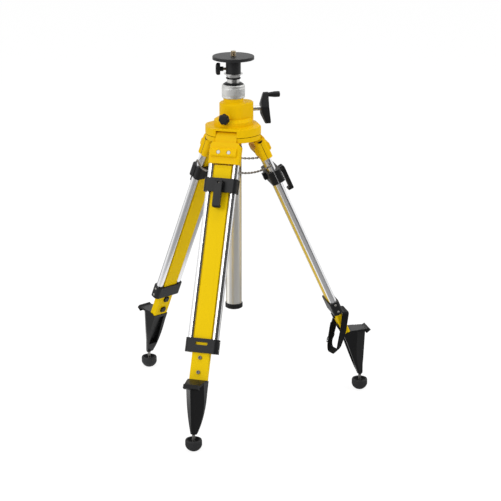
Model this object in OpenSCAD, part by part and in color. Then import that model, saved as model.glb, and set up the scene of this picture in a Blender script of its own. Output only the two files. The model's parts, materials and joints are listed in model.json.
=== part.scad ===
// Elevating tripod with a crank-driven column and three extending legs.
// The origin is the centre of the seat face on the head plate. +Z is up and +X points along the right leg.
// In a leg's own frame X points outwards, Y runs across the leg and Z runs up the leg from its hinge pin.

/* [Head plate] */
// Diameter of the seat plate
plate_d = 125; // [100:1:160]
// Thickness of the seat plate
plate_t = 9; // [5:0.5:12]
// Diameter of the instrument stud, five eighths of an inch
stud_d = 15.875; // [10:0.125:20]
// Height of the instrument stud above the seat
stud_h = 15; // [10:1:25]
// Outer diameter of the socket under the plate
socket_d = 45; // [40:1:60]
// Length of the socket under the plate
socket_h = 43; // [38:0.5:70]
// Diameter of the spigot that the socket turns on
spigot_d = 28; // [22:1:30]
// Direction of the socket's clamp knob, seen from above
socket_knob_az = 167; // [0:1:359]
// Diameter of the socket's clamp knob
socket_knob_d = 37; // [28:1:44]
// Diameter of the socket's clamp screw
socket_screw_d = 8; // [6:1:10]
// Length of the clamp screw that shows beside the socket
socket_screw_show = 7; // [4:0.5:20]
// Height of the clamp screw above the socket's lower end
socket_screw_up = 13; // [10:1:20]

/* [Column] */
// Outer diameter of the lifting column
column_d = 49; // [46:1:60]
// Length of the lifting column's tube
column_len = 685; // [620:5:760]
// Outer diameter of the column's end cap
cap_d = 54; // [54:1:70]
// Height of the column's end cap
cap_h = 17; // [12:1:30]
// Lift of the column by the crank
lift_travel = 430; // [300:5:440]
// Outer diameter of the extension tube
extension_d = 38; // [32:0.5:39]
// Wall of the extension tube
extension_wall = 2; // [1.5:0.25:3]
// Length of the extension tube that shows above the twist collar
extension_show = 15; // [8:1:40]
// Diameter of the ring under the socket
ring_d = 56; // [50:1:60]
// Thickness of the ring under the socket
ring_t = 2; // [1.5:0.5:5]
// Height of the cone under the ring
cone_h = 11; // [6:1:20]
// Outer diameter of the twist collar
collar_d = 69; // [62:1:80]
// Height of the twist collar with its cap
collar_h = 47; // [40:1:70]
// Height of the black cap on the twist collar
collar_cap_h = 5; // [3:0.5:8]

/* [Gearing] */
// Module of the rack and pinion
gear_module = 1.25; // [1:0.25:1.5]
// Teeth on the pinion
pinion_teeth = 12; // [12:1:14]
// Width of the rack
rack_w = 10; // [8:1:14]
// Play between the meshing flanks
backlash = 0.3; // [0.2:0.05:0.4]
// Diameter of the crank shaft outside the housing
shaft_d = 15; // [10:1:16]
// Length of the crank shaft that shows beside the housing
shaft_show = 34; // [22:1:44]
// Reach of each end of the crank arm
crank_reach = 40; // [30:1:44]
// Lean of the crank arm at rest
crank_lean = 22; // [0:1:45]
// Diameter of the crank grip
grip_d = 18; // [14:1:24]
// Length of the crank grip
grip_len = 35; // [30:1:60]

/* [Gear housing] */
// Radius of the housing round the column
house_r = 41; // [39:1:50]
// Reach of the crank shaft's bearing from the column axis
house_x = 58; // [56:1:62]
// Radius of the housing's lobe on the crank side
lobe_r = 33.5; // [32:0.5:36]
// Reach of the housing behind the pinion
house_rear = 47; // [46:1:54]
// Height of the housing above its flange
house_h = 50; // [44:1:70]
// Height of the neck that the twist collar rests on
neck_h = 14; // [10:1:20]
// Radius of the neck
neck_r = 30; // [29:0.5:34]
// Radius of the housing's flange
flange_r = 58.5; // [56:0.5:66]
// Height of the housing's flange
flange_h = 15; // [12:1:24]
// Height of the crank axis above the flange
crank_up = 21; // [18:1:26]
// Direction of the column's lock knob, seen from above
lock_az = 232; // [200:1:260]
// Height of the lock knob above the flange
lock_up = 11; // [10:1:20]
// Diameter of the lock knob
lock_d = 34; // [24:1:36]

/* [Yoke] */
// Radius of the yoke
yoke_r = 85; // [84:1:96]
// Distance of the yoke's flats from the column axis
yoke_flat = 76; // [76:1:82]
// Height of the yoke's upper half, above the hinge pins
yoke_top_h = 26; // [24:1:36]
// Height of the yoke's lower half, below the hinge pins
yoke_low_h = 16.6; // [12:0.2:16.6]
// Distance of the hinge pins from the column axis
hinge_r = 60; // [58:1:64]
// Diameter of the hinge pins
pin_d = 10; // [8:1:12]
// Length of the hinge pins
pin_len = 98; // [90:1:100]

/* [Legs] */
// Spread of each leg from the column
leg_angle = 24.3; // [20:0.1:28]
// Width of the knuckle that turns on the hinge pin
knuckle_w = 65; // [56:1:66]
// Radius of the knuckle
knuckle_r = 14; // [11:0.5:15]
// Width of the leg head
head_w = 95; // [95:1:104]
// Depth of the leg head
head_t = 36; // [32:1:38]
// Distance of the leg head's shoulders from the hinge pin
head_top = 22; // [22:1:30]
// Height of the leg head below its shoulders
head_h = 64; // [56:1:80]
// Outer diameter of the leg tubes
tube_d = 22; // [20:0.5:22]
// Wall of the leg tubes
tube_wall = 1.5; // [1:0.25:2.5]
// Distance between the axes of a leg's two tubes
tube_gap = 73; // [72.5:0.5:73]
// Length of the leg tubes
tube_len = 624.5; // [600:0.5:720]
// Width of the inner leg
inner_w = 53; // [51:1:54]
// Depth of the inner leg
inner_t = 22; // [20:1:28]
// Wall of the inner leg
inner_wall = 2.2; // [1.6:0.2:3]
// Length of the inner leg that shows below the tubes
inner_show = 79.5; // [70:0.5:110]
// Distance of the leg clamp below the leg head
clamp_down = 44; // [40:1:90]
// Height of the leg clamp
clamp_h = 41.5; // [36:0.5:50]
// Width of the leg clamp and of the lower sleeve
clamp_w = 102; // [101:0.5:106]
// Depth of the leg clamp's outer half
clamp_out = 22; // [20:0.5:26]
// Depth of the leg clamp's inner half
clamp_in = 20; // [18:0.5:22]
// Width of the clamp lever
lever_w = 22.7; // [18:0.1:28]
// Length of the clamp lever below its pivot
lever_len = 75; // [60:1:90]
// Height of the lower sleeve
sleeve_h = 42.4; // [34:0.2:50]
// Depth of the lower sleeve
sleeve_t = 32; // [32:0.5:36]

/* [Feet] */
// Length of the foot casting below the inner leg
foot_len = 160; // [140:1:200]
// Width of the foot casting
foot_w = 55; // [53:1:60]
// Reach of the step plate out of the leg
step_out = 74; // [64:1:90]
// Width of the step plate at the leg
step_w = 57; // [55:1:70]
// Width of the step plate's lip
lip_w = 45; // [36:1:57]
// Diameter of the foot's stud
foot_stud_d = 9.5; // [8:0.5:10]
// Length of the stud that shows above the rubber pad
foot_stud_show = 15.3; // [8:0.1:25]
// Diameter of the rubber pad
pad_d = 50; // [44:1:60]
// Height of the rubber pad
pad_h = 35; // [30:1:45]

/* [Chains and strap] */
// Distance of the chain eyes down the leg from the hinge pin
eye_down = 108; // [100:1:112]
// Diameter of the chain wire
wire_d = 2; // [1.6:0.1:2.1]
// Length of one chain link between the centres of its ends
link_len = 9.5; // [9:0.1:12]
// Sag of the chains at their middle
chain_sag = 8; // [4:0.5:9]
// Width of the carrying strap
strap_w = 22; // [16:1:28]
// Height of the strap's hanging loop
strap_len = 139; // [130:1:160]
// Thickness of the strap's webbing
strap_t = 2; // [1.5:0.1:3]

/* [Hidden] */
$fn = 72;
leg_names = ["right", "rear", "front"];
leg_az = [0, 120, 240];
chain_names = ["right_rear_chain", "rear_front_chain", "front_right_chain"];
chain_az = [60, 180, 300];

// Clearances
run = 0.05;      // round running fit, on the radius
slide = 0.3;     // sliding fit, on each side
seat = 0.02;     // fixed fit, on the radius
eps = 0.1;       // overrun of a cut

// Colours
yellow = [0.93, 0.76, 0.02];
black = [0.16, 0.16, 0.17];
alloy = [0.80, 0.80, 0.81];
steel = [0.66, 0.66, 0.68];
brass = [0.74, 0.58, 0.28];

// Heights of the stack on the column axis, downwards from the seat
socket_bottom = -plate_t - socket_h;
ring_bottom = socket_bottom - ring_t;
cone_bottom = ring_bottom - cone_h;
collar_top = cone_bottom - extension_show;
collar_bottom = collar_top - collar_h;
house_top = collar_bottom - neck_h;
house_bottom = house_top - house_h;
yoke_ceiling = house_bottom - flange_h;
hinge_z = yoke_ceiling - yoke_top_h;
yoke_floor = hinge_z - yoke_low_h;

// Socket and spigot
stud_shank_r = stud_d / 2 - 1;
stud_tip = 1.5;
spigot_r = spigot_d / 2;
spigot_gap = 3;
socket_roof = -plate_t - spigot_gap;
socket_fillet = 4;
socket_knob_z = socket_bottom + socket_screw_up;
spigot_air = 1;
cone_flare = 4;
plug_len = 25;
plate_edge = 1;
groove_r = 0.6;
groove_in = 4;
knob_t = 14;
knob_lobes = 7;
knob_neck_r = 7;
knob_neck = 9.5;

// Twist collar and column
column_r = column_d / 2;
extension_r = extension_d / 2;
column_bore = extension_r + 0.35;
collar_lip = 6;
collet_h = 9;
collar_edge = 3;
collar_groove = 7.2;
collar_groove_r = 0.8;
collar_land = 5;
collar_seat = collar_top - collar_cap_h;
column_top = collar_seat - collar_lip - collet_h;
column_bottom = column_top - column_len;
cap_floor = 5;
cap_pad = 3;
cap_edge = 3;
cap_taper = 4.5;
cap_rim = 1;
extension_bottom = column_bottom + cap_pad + slide;
collet_split = 2;

// Rack and pinion, with short teeth so that a small pinion runs free
flank = 20;
tooth_up = 0.7 * gear_module;
tooth_down = 0.95 * gear_module;
rack_proud = 0.7;
rack_tip = column_r + rack_proud;
rack_pitch_y = rack_tip - tooth_up;
rack_root = rack_pitch_y - tooth_down;
rack_base = column_bore + 1.2;
tooth_step = PI * gear_module;
pinion_r = gear_module * pinion_teeth / 2;
crank_y = rack_pitch_y + pinion_r;
crank_z = house_bottom + crank_up;
rack_end = 14;
rack_top = collar_bottom - rack_end / 4;
rack_bottom = crank_z - lift_travel - rack_end - pinion_r;
key_gap = 0.4;
pinion_w = rack_w - 1;
journal_r = pinion_r + tooth_up + 0.2;
journal_x = 14;
stub_r = 5;
stub_len = 9;
arm_w = 27;
arm_x = house_x + shaft_show;
arm_wall = 7;
grip_gap = 1;
grip_pin_r = 4;
grip_wall = 5.5;
lobe_x = 30;
lobe_y = 12;
lock_seat = house_r + 8;
lock_neck = flange_r - lock_seat + 1.5;

// Yoke
notch_gap = 0.5;
notch_w = knuckle_w + 2 * notch_gap;
notch_in = hinge_r - knuckle_r - 2;
notch_roof = hinge_z + knuckle_r + 4;
yoke_edge = 3;
yoke_step = 1;
seam_h = 2;
seam_in = 2.5;
screw_r = 3;
screw_head_r = 5;
screw_head_h = 6;
screw_ring = 66;
screw_turn = 12;
screw_up = yoke_low_h + 4;
hex_r = 2.9;
hex_h = 3.5;
crown = 6;

// Leg stations, measured down the leg from the hinge pin
head_bottom = head_top + head_h;
tube_top = head_top + 4;
tube_bottom = tube_top + tube_len;
inner_air = 4;
inner_top = head_bottom + inner_air;
inner_bottom = tube_bottom + inner_show;
clamp_top = head_bottom + clamp_down;
clamp_bottom = clamp_top + clamp_h;
sleeve_top = tube_bottom - sleeve_h;
tube_r = tube_d / 2;
tube_y = tube_gap / 2;
flute_r = tube_r + 0.5;
inner_edge = 2;
clamp_corner = 11;
clamp_part = 1.5;
head_bolt_s = head_top + 31;
head_bolt_y = 16;
head_bolt_r = 5.4;
head_edge = 9;
head_boss_t = 7;
head_boss_h = 27;
head_sink = head_t / 2 + 4;
head_bolt_h = 2.5;
bolt_r = 4;
bolt_head_r = 5.5;
bolt_head_h = 4;
bolt_gap = 0.15;
bolt_floor = 1.5;
foot_nut_w = 17;
foot_nut_t = 6;
upper_bolt_down = 14.6;
lower_bolt_up = 22;
upper_bolt_s = tube_bottom + upper_bolt_down;
lower_bolt_s = inner_bottom - lower_bolt_up;
lever_cam = 8;
lever_n = clamp_out + lever_cam;
lever_s = clamp_top + 16;
lever_pin_r = 3;
eye_w = 8.6;
eye_r = lever_cam - 1.6;
nut_w = 18;
nut_h = 22;
nut_t = 10;
nut_wall = 3;
nut_corner = 3;

// Foot, measured from the lower end of the inner leg
tip_r = 9;
tip_n = -11;
tip_s = inner_bottom + foot_len - tip_r;
tip_radial = hinge_r + tip_s * sin(leg_angle) + tip_n * cos(leg_angle);
tip_z = hinge_z - tip_s * cos(leg_angle) + tip_n * sin(leg_angle) - tip_r;
ground = tip_z - foot_stud_show - pad_h;
stud_in_foot = 18;
stud_in_pad = 16;
pad_r = pad_d / 2;
pad_flat_r = 10;
pad_waist = pad_h * 0.68;
dish_depth = 8;
dish_rim = pad_r - 5.5;
foot_back = -inner_t / 2 - 2;
foot_bend = 30;
shelf_n = inner_t / 2 + 5;
shelf_drop = 20;
shelf_lip = 11;
lip_in = 4;
lip_rise = 2;
lip_n = step_out - 16;
lip_s = 30;
step_s = 33;
keel_n = 14.5;
keel_s = foot_len * 0.74;

// Chains
wire_r = wire_d / 2;
link_bend = wire_r * 2.25;
eye_bend = 4;
eye_wire = 0.9;
eye_shank = 2.5;
eye_gap = 1.5;
eye_lat = tube_y + tube_r + eye_gap + eye_bend + eye_wire;
eye_radial = hinge_r + eye_down * sin(leg_angle);
eye_z = hinge_z - eye_down * cos(leg_angle);
chain_x = eye_radial * cos(60) + eye_lat * sin(60);
chain_half = eye_radial * sin(60) - eye_lat * cos(60);
link_gap = 0.25;
hook_gap = 0.5;
hook_in = eye_bend - eye_wire - wire_r - hook_gap;
chain_span = 2 * (chain_half - hook_in);
link_reach = link_len - wire_d - 2 * link_gap;
link_count = 2 * ceil((chain_span - link_len) / link_reach / 2) + 1;
link_step = (chain_span - link_len) / (link_count - 1);

// Carrying strap, hung round the right leg on the head of its upper foot bolt
strap_half = inner_w / 2 + 9;
strap_turn = 28;
strap_lean = 12;
strap_top_r = 8;
strap_low_r = 22;
strap_z = hinge_z - (upper_bolt_s - bolt_head_r) * cos(leg_angle)
  + (inner_t / 2 + bolt_head_h) * sin(leg_angle) + strap_t / 2 + slide;
strap_x = hinge_r + (hinge_z - strap_z + strap_t / 2) * tan(leg_angle)
  + inner_t / 2 / cos(leg_angle) + strap_w / 2 + slide;

// Plain outlines

// Rectangle with rounded corners, centred
module rounded(x, y, r) {
  square([x - 2 * r, y], center = true);
  square([x, y - 2 * r], center = true);
  for (sx = [-1, 1]) {
    for (sy = [-1, 1]) {
      translate([sx * (x / 2 - r), sy * (y / 2 - r)]) circle(r);
    }
  }
}

// Round bar along +X
module bar_x(r, x1, x2) {
  translate([x1, 0, 0]) rotate([0, 90, 0]) cylinder(r = r, h = x2 - x1);
}

// Round bar along +Y, centred
module bar_y(r, len) {
  rotate([90, 0, 0]) cylinder(r = r, h = len, center = true);
}

// Extrusions in a leg's frame: along the leg, across the leg and outwards
module along_leg(s1, s2) {
  translate([0, 0, -s2]) linear_extrude(s2 - s1) children();
}
module across_leg(w) {
  translate([0, w / 2, 0]) rotate([90, 0, 0]) linear_extrude(w) children();
}
module outwards(n1, n2) {
  translate([n1, 0, 0]) rotate([90, 0, 90]) linear_extrude(n2 - n1) children();
}

// Place of leg number k
module on_leg(k) {
  rotate([0, 0, leg_az[k]]) translate([hinge_r, 0, hinge_z]) rotate([0, -leg_angle, 0]) children();
}

// Star grip along +X from its neck, with scallops between its lobes and a crowned face
module star_grip(d, bore_r, bore_len, neck_r, neck_len) {
  scallop = d * 0.16;
  depth = scallop * 0.55;
  rim = d / 2;
  face = neck_len + knob_t;
  difference() {
    rotate([0, 90, 0]) rotate_extrude() polygon([
      [0, 0], [neck_r, 0], [neck_r, neck_len], [rim - 2, neck_len], [rim, neck_len + 3],
      [rim, face - 5], [rim - 3, face - 1.5], [rim / 2, face], [0, face]
    ]);
    for (i = [0:knob_lobes - 1]) {
      rotate([(i + 0.5) * 360 / knob_lobes, 0, 0])
        translate([0, 0, rim + scallop - depth]) bar_x(scallop, neck_len - eps, neck_len + knob_t + eps);
    }
    if (bore_len > 0) bar_x(bore_r, -eps, bore_len);
  }
}

// Head plate and socket

module mount_plate() {
  color(black) difference() {
    union() {
      translate([0, 0, -plate_t]) cylinder(d = plate_d, h = plate_t - plate_edge);
      translate([0, 0, -plate_edge]) cylinder(d1 = plate_d, d2 = plate_d - 2 * plate_edge, h = plate_edge);
      translate([0, 0, socket_bottom]) cylinder(d = socket_d, h = socket_h + eps);
      translate([0, 0, -plate_t - socket_fillet])
        cylinder(d1 = socket_d, d2 = socket_d + 2 * socket_fillet, h = socket_fillet + eps);
    }
    rotate_extrude() translate([plate_d / 2 - groove_in, 0]) circle(groove_r);
    translate([0, 0, socket_bottom - eps])
      cylinder(r = spigot_r + run, h = socket_roof - socket_bottom + eps);
    translate([0, 0, socket_roof - eps]) cylinder(r = stud_shank_r + seat, h = -socket_roof + 2 * eps);
    rotate([0, 0, socket_knob_az]) translate([0, 0, socket_knob_z])
      bar_x(socket_screw_d / 2 + run, 0, socket_d);
  }
}

module instrument_stud() {
  color(brass) {
    translate([0, 0, socket_roof]) cylinder(r = stud_shank_r, h = eps - socket_roof);
    cylinder(d = stud_d, h = stud_h - stud_tip);
    translate([0, 0, stud_h - stud_tip]) cylinder(d1 = stud_d, d2 = stud_d - 2 * stud_tip, h = stud_tip);
  }
}

module socket_screw() {
  color(brass) rotate([0, 0, socket_knob_az]) translate([0, 0, socket_knob_z])
    bar_x(socket_screw_d / 2, spigot_r + slide, socket_d / 2 + socket_screw_show + knob_t);
}

module socket_knob() {
  color(black) rotate([0, 0, socket_knob_az]) translate([socket_d / 2 + socket_screw_show, 0, socket_knob_z])
    star_grip(socket_knob_d, socket_screw_d / 2 + seat, knob_t + seat, knob_neck_r, knob_neck);
}

// Extension tube

module extension_head() {
  color(alloy) {
    translate([0, 0, ring_bottom]) cylinder(r = spigot_r, h = socket_roof - ring_bottom - spigot_air);
    translate([0, 0, ring_bottom]) cylinder(d = ring_d, h = ring_t);
    translate([0, 0, cone_bottom]) cylinder(r1 = extension_r, r2 = extension_r + cone_flare, h = cone_h);
    translate([0, 0, cone_bottom - plug_len])
      cylinder(r = extension_r - extension_wall - seat, h = plug_len + eps);
  }
}

module extension_tube() {
  color(alloy) translate([0, 0, extension_bottom]) difference() {
    cylinder(r = extension_r, h = cone_bottom - extension_bottom);
    translate([0, 0, -eps])
      cylinder(r = extension_r - extension_wall, h = cone_bottom - extension_bottom + 1);
  }
}

// Twist lock on top of the column

module twist_collar() {
  low = collar_bottom + slide;
  color(alloy) difference() {
    union() {
      translate([0, 0, low]) cylinder(d1 = collar_d - 2 * collar_edge, d2 = collar_d, h = collar_edge);
      translate([0, 0, low + collar_edge]) cylinder(d = collar_d, h = collar_seat - low - 2 * collar_edge);
      translate([0, 0, collar_seat - collar_edge])
        cylinder(d1 = collar_d, d2 = collar_d - 2 * collar_edge, h = collar_edge);
    }
    translate([0, 0, low - eps]) cylinder(r = column_r + run, h = collar_seat - collar_lip - low + eps);
    translate([0, 0, collar_seat - collar_lip - eps]) cylinder(r = extension_r + slide, h = collar_lip + 1);
    for (z = [low + collar_groove, collar_seat - collar_groove]) {
      translate([0, 0, z]) rotate_extrude() translate([collar_d / 2, 0]) circle(collar_groove_r);
    }
  }
}

module collar_cap() {
  color(black) difference() {
    translate([0, 0, collar_seat])
      cylinder(d1 = collar_d - 2 * collar_edge, d2 = extension_d + 2 * collar_land, h = collar_cap_h);
    translate([0, 0, collar_seat - eps]) cylinder(r = extension_r + slide, h = collar_cap_h + 1);
  }
}

module grip_collet() {
  color(black) translate([0, 0, column_top]) difference() {
    cylinder(r = column_r - slide, h = collet_h);
    translate([0, 0, -eps]) cylinder(r = extension_r + run, h = collet_h + 1);
    translate([0, -collet_split / 2, -eps]) cube([column_d, collet_split, collet_h + 1]);
  }
}

// Column with its rack

module column_tube() {
  color(alloy) difference() {
    translate([0, 0, column_bottom]) cylinder(r = column_r, h = column_len);
    translate([0, 0, column_bottom - eps]) cylinder(r = column_bore, h = column_len + 1);
    translate([-rack_w / 2, rack_base, rack_bottom]) cube([rack_w, column_r, rack_top - rack_bottom]);
  }
}

// Outline of the rack in the plane of its teeth, with a gap facing the pinion at rest
module rack_outline() {
  first = ceil((rack_bottom - crank_z) / tooth_step + 0.5);
  last = floor((rack_top - crank_z) / tooth_step - 1.5);
  half_tip = tooth_step / 4 - backlash / 4 - tooth_up * tan(flank);
  half_root = tooth_step / 4 - backlash / 4 + tooth_down * tan(flank);
  teeth = [
    for (i = [first:last])
      for (p = [[-half_root, rack_root], [-half_tip, rack_tip], [half_tip, rack_tip], [half_root, rack_root]])
        [p[1], crank_z + (i + 0.5) * tooth_step + p[0]]
  ];
  polygon(concat([[rack_base, rack_bottom], [rack_root, rack_bottom]], teeth,
    [[rack_root, rack_top], [rack_base, rack_top]]));
}

module lift_rack() {
  color(steel) translate([-rack_w / 2, 0, 0]) rotate([90, 0, 90]) linear_extrude(rack_w) rack_outline();
}

module column_cap() {
  color(black) translate([0, 0, column_bottom - cap_floor]) difference() {
    union() {
      translate([0, 0, cap_edge]) cylinder(d = cap_d, h = cap_h - cap_edge - cap_rim);
      translate([0, 0, cap_h - cap_rim]) cylinder(d1 = cap_d, d2 = cap_d - 2 * cap_rim, h = cap_rim);
      cylinder(d1 = cap_d - 2 * cap_taper, d2 = cap_d, h = cap_edge);
    }
    difference() {
      translate([0, 0, cap_floor]) cylinder(r = column_r + seat, h = cap_h);
      translate([0, 0, cap_floor - eps]) cylinder(r = column_bore - seat, h = cap_pad + eps);
    }
  }
}

// Gear housing

// Plan of the housing: a round body and a bulge over the pinion, drawn out to a lobe on the crank side
module house_plan(inset = 0) {
  lap = 0.2;
  bulge_y = house_rear - house_r;
  front_turn = atan2(lobe_y, lobe_x) - acos((house_r - lobe_r) / norm([lobe_x, lobe_y]));
  rear_turn = atan2(lobe_y - bulge_y, lobe_x) + acos((house_r - lobe_r) / norm([lobe_x, lobe_y - bulge_y]));
  front = [cos(front_turn), sin(front_turn)];
  rear = [cos(rear_turn), sin(rear_turn)];
  body = house_r - inset;
  lobe = lobe_r - inset;
  circle(body);
  translate([0, bulge_y]) circle(body);
  translate([lobe_x, lobe_y]) circle(lobe);
  polygon([
    (body - lap) * front,
    [lobe_x, lobe_y] + (lobe - lap) * front,
    [lobe_x, lobe_y] + (lobe - lap) * rear,
    [0, bulge_y] + (body - lap) * rear
  ]);
}

module column_passage(z1, z2) {
  translate([0, 0, z1 - eps]) cylinder(r = column_r + run, h = z2 - z1 + 2 * eps);
  translate([-rack_w / 2 - slide, 0, z1 - eps])
    cube([rack_w + 2 * slide, rack_tip + key_gap, z2 - z1 + 2 * eps]);
}

module gear_housing() {
  bevel = 3;
  neck_foot = 6;
  neck_foot_h = 4;
  slope = 11;
  slope_h = 7;
  slope_down = 2;
  boss_r = 9;
  bearing_wall = 4;
  color(yellow) difference() {
    union() {
      translate([0, 0, yoke_ceiling]) linear_extrude(flange_h + house_h - bevel) house_plan();
      translate([0, 0, house_top - bevel]) hull() {
        linear_extrude(0.01) house_plan();
        translate([0, 0, bevel - 0.01]) linear_extrude(0.01) house_plan(bevel);
      }
      translate([0, 0, house_top - eps]) cylinder(r = neck_r, h = neck_h + eps);
      translate([0, 0, house_top - eps]) cylinder(r1 = neck_r + neck_foot, r2 = neck_r, h = neck_foot_h);
      translate([0, 0, yoke_ceiling]) cylinder(r = flange_r, h = flange_h - slope_down);
      translate([0, 0, house_bottom - slope_down])
        cylinder(r1 = flange_r, r2 = flange_r - slope, h = slope_h);
      rotate([0, 0, lock_az]) translate([0, 0, house_bottom + lock_up]) bar_x(boss_r, 0, lock_seat);
      translate([0, crank_y, crank_z]) bar_x(journal_r + bearing_wall, lobe_x, house_x);
    }
    column_passage(yoke_ceiling, collar_bottom);
    translate([0, crank_y, crank_z]) {
      bar_x(pinion_r + tooth_up + slide, -pinion_w / 2 - 1, journal_x + eps);
      bar_x(journal_r + run, journal_x, house_x + 1);
      bar_x(journal_r + bearing_wall, house_x, lobe_x + lobe_r + 1);
      bar_x(stub_r + run, -pinion_w / 2 - stub_len - 1, 0);
    }
    rotate([0, 0, lock_az]) translate([0, 0, house_bottom + lock_up]) bar_x(bolt_r + run, 0, lock_seat + 1);
  }
}

// Column lock knob with its screw, which ends just short of the column
module lock_knob() {
  neck_r = 6;
  color(black) rotate([0, 0, lock_az]) translate([0, 0, house_bottom + lock_up]) {
    translate([lock_seat + slide, 0, 0]) star_grip(lock_d, bolt_r, 0, neck_r, lock_neck);
    bar_x(bolt_r, column_r + slide, lock_seat + lock_neck);
  }
}

// Crank

function involute(a) = tan(a) * 180 / PI - a;
// Half angle of a pinion tooth at radius r
function tooth_half(r) =
  90 / pinion_teeth - backlash / 4 / pinion_r * 180 / PI + involute(flank)
  - involute(acos(min(1, pinion_r * cos(flank) / r)));

module pinion_outline() {
  root = pinion_r - tooth_down;
  base = max(root, pinion_r * cos(flank));
  tip = pinion_r + tooth_up;
  radii = [root, for (i = [0:4]) base + (tip - base) * i / 4];
  polygon([
    for (i = [0:pinion_teeth - 1])
      for (side = [-1, 1])
        for (j = [0:len(radii) - 1])
          let (r = radii[side < 0 ? j : len(radii) - 1 - j],
               a = 180 + i * 360 / pinion_teeth + side * tooth_half(r))
            [r * cos(a), r * sin(a)]
  ]);
}

module pinion_shaft() {
  color(steel) translate([0, crank_y, crank_z]) {
    translate([-pinion_w / 2, 0, 0]) rotate([90, 0, 90]) linear_extrude(pinion_w) pinion_outline();
    bar_x(stub_r, -pinion_w / 2 - stub_len, 0);
    bar_x(stub_r, 0, journal_x + 1);
    bar_x(journal_r, journal_x + slide, house_x - 1);
    bar_x(shaft_d / 2, house_x - 2, arm_x + arm_w - arm_wall);
  }
}

// Place of the crank arm, with Z along its leaning upper end
module on_crank() {
  translate([arm_x, crank_y, crank_z]) rotate([-crank_lean, 0, 0]) children();
}

// Side of the arm: broad at the hub, drawn in towards both ends
module arm_outline(w_hub, w_end) {
  hull() {
    circle(w_hub);
    for (s = [-1, 1]) translate([0, s * crank_reach]) circle(w_end);
  }
}

module crank_arm() {
  hub_r = 14;
  hub_h = 16;
  end_r = 8.5;
  end_x = 12;
  dish = 3;
  tip = crank_reach + end_r + 0.5;
  color(black) difference() {
    on_crank() {
      intersection() {
        rotate([90, 0, 90]) linear_extrude(arm_w) arm_outline(hub_r, end_r);
        rotate([90, 0, 0]) linear_extrude(2 * arm_w, center = true) polygon([
          [0, hub_h], [0, -hub_h], [end_x, -tip], [arm_w, -tip], [arm_w - dish, 0], [arm_w, tip], [end_x, tip]
        ]);
      }
      translate([0, 0, crank_reach])
        bar_x(grip_pin_r, arm_w - dish - 1, arm_w + grip_gap + grip_len - grip_wall - slide);
    }
    translate([0, crank_y, crank_z]) bar_x(shaft_d / 2 + seat, 0, arm_x + arm_w - arm_wall + seat);
  }
}

module crank_grip() {
  taper = 5;
  waist = grip_len * 0.55;
  edge = 1.5;
  color(black) on_crank() translate([arm_w + grip_gap, 0, crank_reach]) rotate([0, 90, 0]) difference() {
    union() {
      cylinder(d1 = grip_d - taper, d2 = grip_d, h = waist);
      translate([0, 0, waist - eps]) cylinder(d = grip_d, h = grip_len - waist - edge + eps);
      translate([0, 0, grip_len - edge]) cylinder(d1 = grip_d, d2 = grip_d - 2 * edge, h = edge);
    }
    translate([0, 0, -eps]) cylinder(r = grip_pin_r + run, h = grip_len - grip_wall + eps);
  }
}

// Yoke

module yoke_plan(inset) {
  difference() {
    circle(yoke_r - inset);
    for (a = leg_az) {
      rotate(a) translate([yoke_flat - inset, -yoke_r]) square([yoke_r, 2 * yoke_r]);
    }
  }
}

// Room for the leg knuckles, up to height z2
module yoke_notches(z1, z2) {
  for (a = leg_az) {
    rotate([0, 0, a]) translate([notch_in, -notch_w / 2, z1]) cube([yoke_r, notch_w, z2 - z1]);
  }
}

module hinge_pin_set(r, len) {
  for (a = leg_az) {
    rotate([0, 0, a]) translate([hinge_r, 0, hinge_z]) bar_y(r, len);
  }
}

// Screws that hold the yoke's halves together, from below
module yoke_screw_set(shank, head, up) {
  for (a = chain_az) {
    for (s = [-1, 1]) {
      rotate([0, 0, a + s * screw_turn]) translate([screw_ring, 0, yoke_floor]) {
        cylinder(r = head, h = screw_head_h);
        translate([0, 0, screw_head_h - eps]) cylinder(r = shank, h = up);
      }
    }
  }
}

module yoke_top() {
  color(yellow) difference() {
    intersection() {
      translate([0, 0, hinge_z]) linear_extrude(yoke_top_h) yoke_plan(0);
      union() {
        translate([0, 0, hinge_z]) cylinder(r = yoke_r, h = yoke_top_h - yoke_edge);
        translate([0, 0, yoke_ceiling - yoke_edge - eps])
          cylinder(r1 = yoke_r, r2 = flange_r + crown, h = yoke_edge + eps);
      }
    }
    column_passage(hinge_z, yoke_ceiling);
    yoke_notches(hinge_z - eps, notch_roof);
    hinge_pin_set(pin_d / 2 + seat, pin_len + 2 * seat);
    yoke_screw_set(screw_r + seat, screw_head_r, screw_up);
  }
}

module yoke_bottom() {
  color(yellow) difference() {
    translate([0, 0, yoke_floor]) {
      linear_extrude(yoke_low_h - seam_h) yoke_plan(yoke_step);
      linear_extrude(yoke_low_h) yoke_plan(yoke_step + seam_in);
    }
    column_passage(yoke_floor, hinge_z);
    yoke_notches(yoke_floor - eps, hinge_z + eps);
    hinge_pin_set(pin_d / 2 + seat, pin_len + 2 * seat);
    yoke_screw_set(screw_r + seat, screw_head_r + seat, yoke_low_h);
  }
}

module yoke_hardware() {
  color(steel) {
    hinge_pin_set(pin_d / 2, pin_len);
    difference() {
      yoke_screw_set(screw_r, screw_head_r, screw_up);
      for (a = chain_az) {
        for (s = [-1, 1]) {
          rotate([0, 0, a + s * screw_turn]) translate([screw_ring, 0, yoke_floor - eps])
            cylinder(r = hex_r, h = hex_h, $fn = 6);
        }
      }
    }
  }
}

// Leg head: two halves that part at the plane of the tubes

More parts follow.
